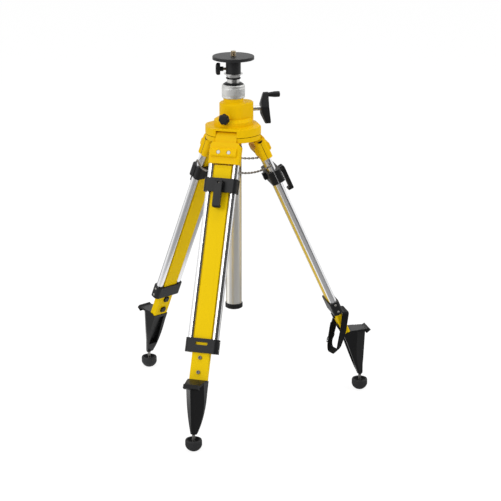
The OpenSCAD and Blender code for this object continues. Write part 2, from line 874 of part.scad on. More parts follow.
module head_solid() {
  shoulder = 9;
  half = head_w / 2;
  intersection() {
    along_leg(head_top, head_bottom) rounded(head_t, head_w, head_edge);
    outwards(-head_t, head_t) polygon([
      [-half, -head_bottom], [half, -head_bottom], [half, -head_top - shoulder],
      [half - shoulder, -head_top], [shoulder - half, -head_top], [-half, -head_top - shoulder]
    ]);
  }
  bar_y(knuckle_r, knuckle_w);
  along_leg(0, head_top + eps) square([2 * knuckle_r, knuckle_w], center = true);
}

// The boss for the head bolts stands proud of each half
module head_boss(side) {
  translate([0, 0, -head_bolt_s]) across_leg(head_w - 2 * head_edge) translate([side * head_t / 2, 0])
    rounded(2 * head_boss_t, head_boss_h, head_boss_t - eps);
}

module tube_bores(r, s1, s2) {
  for (y = [-tube_y, tube_y]) {
    translate([0, y, -s2]) cylinder(r = r, h = s2 - s1);
  }
}

// Bolts of the leg head, or the bores for them: a shank with a sunk head at each end
module head_bolt_set(r, head_r, head_h) {
  for (y = [-head_bolt_y, head_bolt_y]) {
    translate([0, y, -head_bolt_s]) {
      bar_x(r, -head_sink - eps, head_sink + eps);
      bar_x(head_r, head_sink, head_sink + head_h);
      bar_x(head_r, -head_sink - head_h, -head_sink);
    }
  }
}

module head_half(side) {
  difference() {
    intersection() {
      union() {
        head_solid();
        head_boss(side);
      }
      translate([side > 0 ? 0 : -4 * head_t, -head_w, -head_bottom - eps])
        cube([4 * head_t, 2 * head_w, head_bottom + 2 * knuckle_r]);
    }
    bar_y(pin_d / 2 + run, knuckle_w + 1);
    tube_bores(tube_r + seat, tube_top, head_bottom + 1);
    head_bolt_set(screw_r + seat, head_bolt_r + 1, head_boss_t);
    translate([0, 0, -head_bottom - eps]) linear_extrude(inner_air)
      square([inner_t + 2 * slide, inner_w - 2 * inner_air], center = true);
  }
}

module head_outer() {
  color(yellow) head_half(1);
}

module head_inner() {
  color(yellow) head_half(-1);
}

// Bolts of the leg head, rivets of the lower sleeve and the two chain eyes
module leg_hardware() {
  color(steel) {
    head_bolt_set(screw_r, head_bolt_r, head_bolt_h);
    for (side = [-1, 1]) {
      for (s = [sleeve_top + sleeve_h * 0.2, sleeve_top + sleeve_h * 0.76]) {
        translate([0, side * clamp_w / 2, -s]) rivet(side);
      }
      translate([0, side * eye_lat, -eye_down]) chain_eye(side);
    }
  }
}

// Domed rivet head on the side of the sleeve
module rivet(side) {
  ball_r = 4.4;
  sunk = 2.4;
  intersection() {
    translate([0, -side * sunk, 0]) sphere(ball_r);
    translate([0, side * ball_r / 2, 0]) cube([2 * ball_r, ball_r, 2 * ball_r], center = true);
  }
}

// Level ring with a shank that goes through the wall of its tube
module chain_eye(side) {
  shank_len = eye_gap + tube_wall + 1;
  rotate([0, leg_angle, 0]) rotate_extrude() translate([eye_bend, 0]) circle(eye_wire);
  translate([0, -side * (eye_bend + eye_wire - eps + shank_len / 2), 0]) bar_y(eye_shank / 2, shank_len);
}

module leg_tubes() {
  color(alloy) difference() {
    tube_bores(tube_r, tube_top, tube_bottom);
    tube_bores(tube_r - tube_wall, tube_top - 1, tube_bottom + 1);
    for (side = [-1, 1]) {
      translate([0, side * (tube_y + tube_r), -eye_down]) bar_y(eye_shank / 2 + seat, 4 * tube_wall);
    }
  }
}

// Inner leg: a box section whose sides are fluted to run on the tubes
module inner_section(shrink) {
  difference() {
    rounded(inner_t - 2 * shrink, inner_w - 2 * shrink, inner_edge);
    for (y = [-tube_y, tube_y]) {
      translate([0, y]) circle(flute_r + shrink);
    }
  }
}

module bolt_bores(r) {
  for (s = [lever_s, upper_bolt_s, lower_bolt_s]) {
    translate([0, 0, -s]) bar_x(r, -inner_t, inner_t);
  }
}

module inner_leg() {
  color(yellow) difference() {
    along_leg(inner_top, inner_bottom) difference() {
      inner_section(0);
      inner_section(inner_wall);
    }
    bolt_bores(bolt_r + bolt_gap);
  }
}

// Room for the inner leg inside the lower sleeve
module sleeve_passage() {
  square([inner_t + 2 * slide, inner_w + 2 * slide], center = true);
  for (y = [-tube_y, tube_y]) {
    translate([0, y]) circle(tube_r + seat);
  }
}

module lower_sleeve() {
  corner = 12;
  slot_w = 37;
  slot_h = 8.5;
  slot_down = 15.3;
  slot_corner = 2;
  color(black) difference() {
    along_leg(sleeve_top, tube_bottom) rounded(sleeve_t, clamp_w, corner);
    along_leg(sleeve_top - 1, tube_bottom + 1) sleeve_passage();
    translate([0, 0, -sleeve_top - slot_down]) outwards(0, sleeve_t) rounded(slot_w, slot_h, slot_corner);
  }
}

// Leg clamp: two halves round the tubes, drawn together by the lever's bolt
module clamp_half(n1, n2) {
  difference() {
    along_leg(clamp_top, clamp_bottom) intersection() {
      translate([(clamp_out - clamp_in) / 2, 0]) rounded(clamp_in + clamp_out, clamp_w, clamp_corner);
      translate([n1, -clamp_w]) square([n2 - n1, 2 * clamp_w]);
    }
    along_leg(clamp_top - 1, clamp_bottom + 1) {
      square([inner_t, inner_w], center = true);
      for (y = [-tube_y, tube_y]) {
        translate([0, y]) circle(tube_r + 3 * run);
      }
    }
    translate([0, 0, -lever_s]) bar_x(bolt_r + bolt_gap, -clamp_in - 1, clamp_out + 1);
  }
}

module clamp_outer() {
  color(black) clamp_half(clamp_part, clamp_out);
}

module clamp_inner() {
  color(black) {
    clamp_half(-clamp_in, -clamp_part);
    translate([0, 0, -lever_s]) difference() {
      outwards(-clamp_in - nut_t, eps - clamp_in) rounded(nut_w, nut_h, nut_corner);
      bar_x(bolt_r + bolt_gap, -clamp_in - nut_t + nut_wall, 0);
    }
  }
}

// Cam lever: forked round the eye of its bolt, with a bar that curls in at its end and rounded corners
module lever() {
  head_r = 11;
  cam_off = 0.8;
  bar_t = 12;
  end_r = bar_t / 2;
  hook_r = 4.5;
  hook_in = 14;
  dot_r = 3.4;
  corner = 5;
  slot_gap = 0.9;
  front = lever_n + head_r;
  low = lever_s + lever_len;
  tall = lever_len + 2 * head_r;
  color(black) difference() {
    intersection() {
      across_leg(lever_w) union() {
        translate([lever_n - cam_off, -lever_s]) circle(lever_cam - 1);
        translate([lever_n, -lever_s]) intersection() {
          circle(head_r);
          translate([0, -head_r]) square([head_r, head_r + lever_cam - slide]);
        }
        translate([front - bar_t, end_r - low]) square([bar_t, lever_len - end_r]);
        translate([front - end_r, end_r - low]) circle(end_r);
        translate([front - hook_in, -low]) square([hook_in - end_r, 2 * hook_r]);
        translate([front - hook_in, hook_r - low]) circle(hook_r);
      }
      translate([0, 0, tall / 2 - low]) outwards(0, 2 * front) rounded(lever_w, tall, corner);
    }
    across_leg(eye_w + 2 * bolt_gap) translate([lever_n, -lever_s]) circle(lever_cam + slot_gap);
    translate([lever_n, 0, -lever_s]) {
      bar_y(lever_pin_r + run, lever_w + 1);
      bar_x(dot_r, 0, lever_w);
    }
  }
}

// Clamp bolt with its eye, foot bolts and the foot's threaded stud
module lower_bolts() {
  color(steel) {
    translate([0, 0, -lever_s]) {
      bar_x(bolt_r, -clamp_in - nut_t + nut_wall + slide, lever_n);
      translate([lever_n, 0, 0]) bar_y(eye_r, eye_w);
      translate([lever_n, 0, 0]) bar_y(lever_pin_r, lever_w);
    }
    for (s = [upper_bolt_s, lower_bolt_s]) {
      translate([0, 0, -s]) foot_bolt();
    }
    rotate([0, leg_angle, 0])
      translate([tip_radial - hinge_r, 0, tip_z - hinge_z - foot_stud_show - stud_in_pad])
      cylinder(d = foot_stud_d, h = stud_in_pad + foot_stud_show + stud_in_foot);
  }
}

module foot_bolt() {
  difference() {
    union() {
      bar_x(bolt_r, -inner_t / 2 - foot_nut_t, inner_t / 2 + eps);
      bar_x(bolt_head_r, inner_t / 2, inner_t / 2 + bolt_head_h);
    }
    translate([inner_t / 2 + bolt_floor, 0, 0]) rotate([0, 90, 0])
      cylinder(r = hex_r, h = bolt_head_h, $fn = 6);
  }
}

// Foot casting

// Side of the foot: step plate, ramped outer edge, rounded tip and straight back
module foot_side() {
  flat = tip_r * 0.94;
  flat_s = foot_len - tip_r - 3;
  heel = 14;
  polygon([
    [foot_back, 0], [shelf_n, 0], [step_out - shelf_lip, -shelf_drop],
    [step_out - lip_in, lip_rise - shelf_drop], [step_out, -lip_s], [lip_n, -step_s], [keel_n, -keel_s],
    [tip_n + flat, -flat_s], [tip_n - flat, -flat_s], [tip_n - tip_r, heel - flat_s], [foot_back, -foot_bend]
  ]);
  translate([tip_n, tip_r - foot_len]) circle(tip_r);
}

// Front of the foot: straight at the top, drawn to the tip by two large arcs
module foot_front() {
  arc_from = 50;
  arc_drop = foot_len - arc_from;
  inset = foot_w / 2 - tip_r;
  arc_r = (arc_drop * arc_drop + inset * inset) / (2 * inset);
  translate([-foot_w / 2, -arc_from]) square([foot_w, arc_from]);
  intersection() {
    translate([foot_w / 2 - arc_r, -arc_from]) circle(arc_r, $fn = 360);
    translate([arc_r - foot_w / 2, -arc_from]) circle(arc_r, $fn = 360);
    translate([-foot_w, -foot_len]) square([2 * foot_w, foot_len - arc_from + eps]);
  }
}

// Wedge whose two faces meet in the keel along the ramped outer edge
module foot_keel() {
  slope = atan((lip_n - keel_n) / (keel_s - step_s));
  edge = 3.5;
  proud = 1.5;
  ramp = 34;
  half = foot_w / 2 + 1;
  back = 2 * foot_w;
  translate([keel_n, 0, -keel_s]) rotate([0, slope, 0]) translate([0, 0, -2 * foot_len])
    linear_extrude(4 * foot_len) polygon([
      [proud, -edge], [proud, edge], [-ramp, half], [-back, half], [-back, -half], [-ramp, -half]
    ]);
}

// Step plate: the top of the side's outline, drawn in to its lip, hollow below and grooved across for grip
module foot_step() {
  plate = 7;
  lip_t = 14;
  grooves = 7;
  groove = 1.8;
  pitch = (step_out - shelf_lip - shelf_n) / grooves;
  tilt = atan(shelf_drop / (step_out - shelf_lip - shelf_n));
  difference() {
    intersection() {
      across_leg(step_w) foot_side();
      along_leg(-1, step_s) polygon([
        [0, -step_w / 2], [shelf_n, -step_w / 2], [step_out, -lip_w / 2],
        [step_out, lip_w / 2], [shelf_n, step_w / 2], [0, step_w / 2]
      ]);
    }
    translate([shelf_n, -step_w, -plate]) rotate([0, tilt, 0]) translate([-2 * step_out, 0, -2 * step_s])
      cube([2 * step_out + (step_out - lip_t - shelf_n) / cos(tilt), 2 * step_w, 2 * step_s]);
    for (i = [0:grooves - 1]) {
      n = shelf_n + (i + 0.5) * pitch;
      translate([n, 0, (shelf_n - n) * tan(tilt)]) rotate([0, 45, 0])
        cube([groove, 2 * step_w, groove], center = true);
    }
  }
}

module foot_nut() {
  outwards(-inner_t / 2 - foot_nut_t, -inner_t / 2) difference() {
    rounded(foot_nut_w, foot_nut_w, nut_corner);
    circle(bolt_r + seat);
  }
}

module foot() {
  tongue = inner_bottom - upper_bolt_s + 10;
  tongue_gap = 6.5;
  boss_r = 9.5;
  boss_edge = 4;
  boss_h = 36;
  color(black) {
    translate([0, 0, -inner_bottom]) difference() {
      union() {
        intersection() {
          across_leg(2 * foot_w) foot_side();
          outwards(-step_out, step_out) foot_front();
          foot_keel();
        }
        foot_step();
        translate([tip_n, 0, tip_r - foot_len]) rotate([0, leg_angle, 0]) {
          translate([0, 0, -tip_r]) cylinder(r1 = boss_r - boss_edge, r2 = boss_r, h = boss_edge);
          translate([0, 0, boss_edge - tip_r]) cylinder(r = boss_r, h = boss_h);
        }
        linear_extrude(tongue)
          square([inner_t - 2 * inner_wall - 2 * seat, inner_w - 2 * tongue_gap], center = true);
      }
      foot_channel();
      translate([0, 0, inner_bottom]) bolt_bores(bolt_r + seat);
      translate([tip_n, 0, tip_r - foot_len]) rotate([0, leg_angle, 0])
        translate([0, 0, -2 * tip_r]) cylinder(d = foot_stud_d + 2 * seat, h = tip_r + stud_in_foot + seat);
    }
    for (s = [upper_bolt_s, lower_bolt_s]) {
      translate([0, 0, -s]) foot_nut();
    }
  }
}

// Channel in the back of the foot, between its two side walls
module foot_channel() {
  wall = 11;
  deep = 8;
  from = 10;
  to = foot_len - 40;
  translate([foot_back - deep, wall - foot_w / 2, -to]) cube([2 * deep, foot_w - 2 * wall, to - from]);
}

// Rubber pad: a dome with a flat base and a dished top, turning on the stud
module rubber_pad() {
  dish_r = (dish_rim * dish_rim + dish_depth * dish_depth) / (2 * dish_depth);
  color(black) translate([tip_radial, 0, ground]) difference() {
    intersection() {
      cylinder(r = pad_r, h = pad_h);
      translate([0, 0, pad_waist]) sphere(norm([pad_waist, pad_flat_r]));
    }
    translate([0, 0, pad_h + dish_r - dish_depth]) sphere(dish_r);
    translate([0, 0, pad_h - stud_in_pad - slide]) cylinder(d = foot_stud_d + 2 * run, h = pad_h);
  }
}

// Chains

// Height of the chain below its eyes at offset y from its middle
function sag_at(y) = -chain_sag * (1 - pow(2 * y / chain_span, 2));

module chain_link() {
  straight = link_len - 2 * link_bend;
  for (side = [-1, 1]) {
    translate([side * link_bend, 0, 0]) bar_y(wire_r, straight);
    translate([0, side * straight / 2, 0]) rotate([0, 0, side > 0 ? 0 : 180])
      rotate_extrude(angle = 180) translate([link_bend, 0]) circle(wire_r, $fn = 24);
  }
}

// Links that hang in a shallow bow between two eyes, each turned a quarter from the last
module chain(a) {
  color(steel) rotate([0, 0, a]) {
    for (i = [0:link_count - 1]) {
      y = (i - (link_count - 1) / 2) * link_step;
      lean = atan2(sag_at(y + 0.5) - sag_at(y - 0.5), 1);
      translate([chain_x, y, eye_z + sag_at(y) - sag_at(chain_half - eye_bend)])
        rotate([lean, 0, 0]) rotate([0, 90 * ((i + 1) % 2), 0]) chain_link();
    }
  }
}

// Carrying strap: a loop of webbing that goes over the leg's outer face and hangs down on both sides of it

// Quarter bend of the loop: across, down and the direction of the band's outer face at each step
function strap_bend(across, down, r, from) = [
  for (i = [0:6]) let (a = from + i * 15) [across + r * cos(a), down + r * sin(a), cos(a), sin(a)]
];

function strap_side(side) = [
  for (i = [1:7]) let (d = strap_top_r + (strap_len - strap_top_r - strap_low_r) * (side > 0 ? i : 8 - i) / 8)
    [side * strap_half, d, side, 0]
];

// The loop leans in and turns as it hangs; t runs across the band and off goes out from its middle
function strap_point(p, t, off) =
  let (b = p[0] + p[2] * off, d = p[1] + p[3] * off, turn = strap_turn * d / strap_len)
    [strap_x - d * sin(strap_lean) + b * sin(turn) + t * cos(turn), t * sin(turn) - b * cos(turn),
     strap_z - d * cos(strap_lean)];

module carry_strap() {
  up = strap_half - strap_top_r;
  low = strap_half - strap_low_r;
  path = concat(
    strap_bend(up, strap_top_r, strap_top_r, -90), strap_side(1),
    strap_bend(low, strap_len - strap_low_r, strap_low_r, 0),
    strap_bend(-low, strap_len - strap_low_r, strap_low_r, 90), strap_side(-1),
    strap_bend(-up, strap_top_r, strap_top_r, 180));
  n = len(path);
  edges = [[-1, -1], [1, -1], [1, 1], [-1, 1]];
  color(black) polyhedron(
    [for (p = path) for (e = edges) strap_point(p, e[0] * strap_w / 2, e[1] * strap_t / 2)],
    [for (i = [0:n - 1]) for (j = [0:3]) for (half = [0, 1])
      let (next = (i + 1) % n, k = (j + 1) % 4)
        half == 0 ? [4 * i + j, 4 * i + k, 4 * next + k] : [4 * i + j, 4 * next + k, 4 * next + j]]);
}

// Assembly

mount_plate();
instrument_stud();
socket_knob();
socket_screw();
extension_head();
extension_tube();
twist_collar();
collar_cap();
grip_collet();
column_tube();
lift_rack();
column_cap();
gear_housing();
pinion_shaft();
crank_arm();
crank_grip();
lock_knob();
yoke_top();
yoke_bottom();
yoke_hardware();
carry_strap();
for (k = [0:2]) {
  leg = leg_names[k];
  chain(chain_az[k]);
  on_leg(k) head_outer();
  on_leg(k) head_inner();
  on_leg(k) leg_hardware();
  on_leg(k) leg_tubes();
  on_leg(k) lower_sleeve();
  on_leg(k) inner_leg();
  on_leg(k) clamp_outer();
  on_leg(k) clamp_inner();
  on_leg(k) lever();
  on_leg(k) lower_bolts();
  on_leg(k) foot();
  rotate([0, 0, leg_az[k]]) rubber_pad();
}
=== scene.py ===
# Looks of an elevating tripod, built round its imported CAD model.
# Metres, +Z up, origin at the head plate's seat.
import json
import math
import bmesh
import bpy
import numpy as np
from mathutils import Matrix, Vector


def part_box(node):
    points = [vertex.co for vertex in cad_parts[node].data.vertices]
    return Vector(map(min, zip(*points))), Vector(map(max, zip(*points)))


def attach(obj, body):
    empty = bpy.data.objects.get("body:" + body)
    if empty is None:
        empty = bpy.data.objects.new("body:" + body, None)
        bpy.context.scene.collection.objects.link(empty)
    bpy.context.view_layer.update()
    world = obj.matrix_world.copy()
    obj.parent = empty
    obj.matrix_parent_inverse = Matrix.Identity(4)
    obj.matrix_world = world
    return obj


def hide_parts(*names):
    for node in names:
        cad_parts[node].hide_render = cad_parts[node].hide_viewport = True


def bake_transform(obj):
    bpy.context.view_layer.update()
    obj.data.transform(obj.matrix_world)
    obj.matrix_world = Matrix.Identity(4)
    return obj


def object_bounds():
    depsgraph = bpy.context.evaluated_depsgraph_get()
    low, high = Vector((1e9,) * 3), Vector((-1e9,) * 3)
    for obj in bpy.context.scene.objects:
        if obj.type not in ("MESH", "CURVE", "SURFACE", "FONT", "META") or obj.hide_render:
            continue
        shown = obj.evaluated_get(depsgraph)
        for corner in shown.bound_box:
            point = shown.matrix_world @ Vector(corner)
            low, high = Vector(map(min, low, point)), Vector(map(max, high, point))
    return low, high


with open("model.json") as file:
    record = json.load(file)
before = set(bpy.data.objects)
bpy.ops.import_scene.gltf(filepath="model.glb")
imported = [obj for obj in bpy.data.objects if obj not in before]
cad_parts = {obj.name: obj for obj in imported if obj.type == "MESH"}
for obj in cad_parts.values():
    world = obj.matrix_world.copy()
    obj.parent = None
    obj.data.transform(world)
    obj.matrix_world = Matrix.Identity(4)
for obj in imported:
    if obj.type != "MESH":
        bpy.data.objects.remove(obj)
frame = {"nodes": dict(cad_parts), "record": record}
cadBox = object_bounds()
nodes = frame["nodes"]
bodyOf = {n: b for b, group in frame["record"]["behaviour"]["bodies"].items() for n in group}
groundZ = cadBox[0].z
mm = 0.001
legTurn = {"right": 0.0, "rear": 120.0, "front": 240.0}  # degrees round the column
legNames = list(legTurn)
legSpread = math.radians(24.3)                           # lean of a leg away from the column
hingeRadius, hingeZ = 60.0 * mm, -232.0 * mm             # the pins that the legs fold on
headLength = 83.0 * mm                                   # of a leg head, down the leg from its pin
print("frame:", len(nodes), "nodes, floor at", round(groundZ, 4))


# Camera

cameraSet = {
    "azimuth": -13.1, "elevation": 17.1,     # where the camera stands, degrees
    "distance": 5.385,                       # from the aim point
    "aimZ": -0.5988,                         # aim point on the column axis
    "asideX": 0.0512, "asideY": -0.0072,     # the tripod stands a little left of the frame's middle
    "lens": 125.8, "sensor": 36.0,           # millimetres
}


def makeCamera(s):
    a = math.radians(s["azimuth"])
    e = math.radians(s["elevation"])
    back = Vector((math.sin(a) * math.cos(e), -math.cos(a) * math.cos(e), math.sin(e)))
    right = Vector((math.cos(a), math.sin(a), 0))
    up = back.cross(right)
    aim = Vector((0, 0, s["aimZ"]))
    data = bpy.data.cameras.new("viewCamera")
    data.lens = s["lens"]
    data.sensor_width = s["sensor"]
    camera = bpy.data.objects.new("viewCamera", data)
    camera.location = aim + back * s["distance"]
    target = aim + right * s["asideX"] + up * s["asideY"]
    camera.rotation_mode = "QUATERNION"
    camera.rotation_quaternion = (target - camera.location).to_track_quat("-Z", "Y")
    bpy.context.scene.collection.objects.link(camera)
    bpy.context.scene.camera = camera


makeCamera(cameraSet)
print("camera set")


# Mesh helpers

weldGap = 0.001 * mm  # points of a new piece closer than this are one


# Quads of a grid of points, optionally joined end to end along either parameter
def gridFaces(rows, cols, wrapRows=False, wrapCols=False):
    r, c = np.meshgrid(
        np.arange(rows if wrapRows else rows - 1),
        np.arange(cols if wrapCols else cols - 1), indexing="ij")
    r2 = (r + 1) % rows
    c2 = (c + 1) % cols
    return np.stack([r * cols + c, r2 * cols + c, r2 * cols + c2, r * cols + c2], -1).reshape(-1, 4)


# Quads of a tube, with a flat face over each of its two ends
def tubeFaces(rows, cols):
    last = (rows - 1) * cols
    ends = [list(range(cols)), list(range(last, last + cols))]
    return gridFaces(rows, cols, False, True).tolist() + ends


def addMesh(name, points, faces, material, uv=None):
    mesh = bpy.data.meshes.new(name)
    mesh.from_pydata(np.asarray(points).reshape(-1, 3).tolist(), [], [list(map(int, f)) for f in faces])
    mesh.update()
    if uv is not None:
        loops = np.zeros(len(mesh.loops), dtype=np.int32)
        mesh.loops.foreach_get("vertex_index", loops)
        layer = mesh.uv_layers.new(name="surface")
        layer.data.foreach_set("uv", np.asarray(uv)[loops].astype(np.float32).ravel())
    mesh.polygons.foreach_set("use_smooth", np.ones(len(mesh.polygons), dtype=bool))
    obj = bpy.data.objects.new(name, mesh)
    bpy.context.scene.collection.objects.link(obj)
    obj.data.materials.append(material)
    return obj


def fixNormals(obj):
    bm = bmesh.new()
    bm.from_mesh(obj.data)
    bmesh.ops.remove_doubles(bm, verts=bm.verts, dist=weldGap)
    bmesh.ops.recalc_face_normals(bm, faces=bm.faces)
    bm.to_mesh(obj.data)
    bm.free()
    return obj


# Turn about one axis, degrees to a 3x3 matrix
def turnAbout(axis, degrees):
    c, s = math.cos(math.radians(degrees)), math.sin(math.radians(degrees))
    rows = {"X": [[1, 0, 0], [0, c, -s], [0, s, c]],
            "Y": [[c, 0, s], [0, 1, 0], [-s, 0, c]],
            "Z": [[c, -s, 0], [s, c, 0], [0, 0, 1]]}
    return np.array(rows[axis])


# Directions from one point of a closed path to the next, as unit vectors
def pathAhead(path):
    ahead = np.roll(path, -1, 0) - np.roll(path, 1, 0)
    return ahead / np.linalg.norm(ahead, axis=1, keepdims=True)


# Shader helpers

# Sets a socket to a number, or links another socket to it
def feed(tree, socket, value):
    if isinstance(value, (int, float)):
        socket.default_value = value
    else:
        tree.links.new(value, socket)


def mathNode(tree, operation, a, b):
    node = tree.nodes.new("ShaderNodeMath")
    node.operation = operation
    feed(tree, node.inputs[0], a)
    feed(tree, node.inputs[1], b)
    return node.outputs[0]


def noiseNode(tree, place, scale, detail):
    node = tree.nodes.new("ShaderNodeTexNoise")
    feed(tree, node.inputs["Vector"], place)
    feed(tree, node.inputs["Scale"], scale)
    feed(tree, node.inputs["Detail"], detail)
    return node.outputs["Fac"]


def scaleColor(tree, color, gain):
    node = tree.nodes.new("ShaderNodeVectorMath")
    node.operation = "SCALE"
    feed(tree, node.inputs[0], color)
    feed(tree, node.inputs["Scale"], gain)
    return node.outputs[0]


# Object coordinates turned by three angles
def turnedPlace(tree, turn):
    coord = tree.nodes.new("ShaderNodeTexCoord")
    turned = tree.nodes.new("ShaderNodeMapping")
    tree.links.new(coord.outputs["Object"], turned.inputs["Vector"])
    if isinstance(turn, tuple):
        turned.inputs["Rotation"].default_value = turn
    else:
        tree.links.new(turn, turned.inputs["Rotation"])
    return turned.outputs[0]


def addRelief(tree, shader, height, strength, distance):
    relief = tree.nodes.new("ShaderNodeBump")
    relief.inputs["Strength"].default_value = strength
    relief.inputs["Distance"].default_value = distance
    tree.links.new(height, relief.inputs["Height"])
    tree.links.new(relief.outputs["Normal"], shader.inputs["Normal"])


def newMaterial(name):
    mat = bpy.data.materials.new(name)
    mat.use_nodes = True
    return mat, mat.node_tree, mat.node_tree.nodes["Principled BSDF"]


# Shader groups

grainSet = {
    "fineDetail": 3.0, "fineShare": 0.4,                       # the grain's own noise
    "broadScale": 22.0, "broadDetail": 4.0, "broadShare": 0.6,  # the slow change of tone under it
}
streakSet = {"squeeze": 0.006, "detail": 2.0}  # scale along the streaks against across them


def newGroup(name, inputs):
    group = bpy.data.node_groups.new(name, "ShaderNodeTree")
    outputs = {"Color": "Color", "Roughness": "Float", "Height": "Float"}
    for way, sockets in (("INPUT", inputs), ("OUTPUT", outputs)):
        for label, kind in sockets.items():
            group.interface.new_socket(label, in_out=way, socket_type="NodeSocket" + kind)
    return group, group.nodes.new("NodeGroupInput"), group.nodes.new("NodeGroupOutput")


# The end of a group: a pattern about one half shades the colour and moves the roughness
def closeGroup(group, gin, gout, pattern, height):
    centred = mathNode(group, "SUBTRACT", pattern, 0.5)
    gain = mathNode(group, "ADD", mathNode(group, "MULTIPLY", centred, gin.outputs["Tone"]), 1.0)
    wander = mathNode(group, "MULTIPLY", centred, gin.outputs["Wander"])
    rough = mathNode(group, "ADD", gin.outputs["Roughness"], wander)
    group.links.new(scaleColor(group, gin.outputs["Color"], gain), gout.inputs["Color"])
    group.links.new(rough, gout.inputs["Roughness"])
    group.links.new(height, gout.inputs["Height"])


# Moulded or sprayed grain: fine bumps, broad change of tone, and roughness that wanders with both
def grainGroup(s):
    group, gin, gout = newGroup("surfaceGrain", {
        "Color": "Color", "Grain": "Float", "Tone": "Float", "Roughness": "Float", "Wander": "Float"})
    place = group.nodes.new("ShaderNodeTexCoord").outputs["Object"]
    fine = noiseNode(group, place, gin.outputs["Grain"], s["fineDetail"])
    broad = noiseNode(group, place, s["broadScale"], s["broadDetail"])
    mixed = mathNode(group, "ADD", mathNode(group, "MULTIPLY", fine, s["fineShare"]),
                     mathNode(group, "MULTIPLY", broad, s["broadShare"]))
    closeGroup(group, gin, gout, mixed, fine)
    return group


# Drawn or brushed metal: noise stretched along the local Z of a turned frame
def streakGroup(s):
    group, gin, gout = newGroup("drawnStreaks", {
        "Color": "Color", "Turn": "Vector", "Fineness": "Float",
        "Tone": "Float", "Roughness": "Float", "Wander": "Float"})
    squeeze = group.nodes.new("ShaderNodeVectorMath")
    squeeze.operation = "MULTIPLY"
    squeeze.inputs[1].default_value = (1, 1, s["squeeze"])
    group.links.new(turnedPlace(group, gin.outputs["Turn"]), squeeze.inputs[0])
    noise = noiseNode(group, squeeze.outputs[0], gin.outputs["Fineness"], s["detail"])
    closeGroup(group, gin, gout, noise, noise)
    return group


surfaceGrain = grainGroup(grainSet)
drawnStreaks = streakGroup(streakSet)


# Materials

finishSet = {  # group and its values, strength and height of the bump, plain values of the shader
    "powderCoat": {  # satin, on the yellow castings
        "group": surfaceGrain, "values": {"Grain": 700.0, "Tone": 0.10, "Wander": 0.12},
        "bump": 0.16, "height": 0.4 * mm, "plain": {"Specular IOR Level": 0.05}},
    "smoothPaint": {  # on the extruded inner legs
        "group": surfaceGrain, "values": {"Grain": 350.0, "Tone": 0.05, "Wander": 0.08},
        "bump": 0.05, "height": 0.3 * mm, "plain": {"Specular IOR Level": 0.035}},
    "plastic": {  # lightly grained
        "group": surfaceGrain, "values": {"Grain": 1400.0, "Tone": 0.30, "Wander": 0.18},
        "bump": 0.22, "height": 0.3 * mm, "plain": {"Specular IOR Level": 0.20}},
    "blackCoat": {  # satin paint on the foot castings and the plate
        "group": surfaceGrain, "values": {"Grain": 800.0, "Tone": 0.25, "Wander": 0.14},
        "bump": 0.12, "height": 0.3 * mm, "plain": {"Specular IOR Level": 0.16}},
    "rubber": {
        "group": surfaceGrain, "values": {"Grain": 1100.0, "Tone": 0.35, "Wander": 0.2},
        "bump": 0.3, "height": 0.4 * mm, "plain": {"Specular IOR Level": 0.30}},
    # painted shade: the rubber in hollows, which also mirrors less light
    "hollowShadeRubber": {  # in hollows, where little light is mirrored
        "group": surfaceGrain, "values": {"Grain": 1100.0, "Tone": 0.35, "Wander": 0.2},
        "bump": 0.3, "height": 0.4 * mm, "plain": {"Specular IOR Level": 0.08}},
    "alloy": {  # bright anodised tube whose drawing lines run along its own axis
        "group": drawnStreaks,
        "values": {"Turn": (0, 0, 0), "Fineness": 1300.0, "Tone": 0.10, "Wander": 0.12},
        "bump": 0.10, "height": 0.2 * mm, "plain": {"Metallic": 1.0}},
    "steel": {  # turned or plated
        "group": surfaceGrain, "values": {"Grain": 600.0, "Tone": 0.25, "Wander": 0.2},
        "bump": 0.08, "height": 0.2 * mm, "plain": {"Metallic": 1.0}},
}
weaveSet = {
    "ribs": 190.0, "waver": 0.6, "threads": 150.0,  # ribs across the band, threads along it
    "dark": (0.002, 0.002, 0.0022, 1), "light": (0.011, 0.011, 0.0115, 1),
    "bump": 0.5, "height": 0.4 * mm,
    "plain": {"Roughness": 0.75, "Sheen Weight": 0.06, "Specular IOR Level": 0.15},
}
# painted shade on the leg tubes inside the heads
paintedShadeTone = 0.04  # what is left of the tubes' colour inside the leg heads


# A Principled material fed by a finish's group, with a small bump from the group's height
def makeFinish(name, kind, color, rough, **more):
    look = finishSet[kind]
    mat, tree, shader = newMaterial(name)
    effect = tree.nodes.new("ShaderNodeGroup")
    effect.node_tree = look["group"]
    values = {**look["values"], **more, "Color": (*color, 1), "Roughness": rough}
    for label, value in values.items():
        effect.inputs[label].default_value = value
    for label, value in look["plain"].items():
        shader.inputs[label].default_value = value
    tree.links.new(effect.outputs["Color"], shader.inputs["Base Color"])
    tree.links.new(effect.outputs["Roughness"], shader.inputs["Roughness"])
    addRelief(tree, shader, effect.outputs["Height"], look["bump"], look["height"])
    return mat


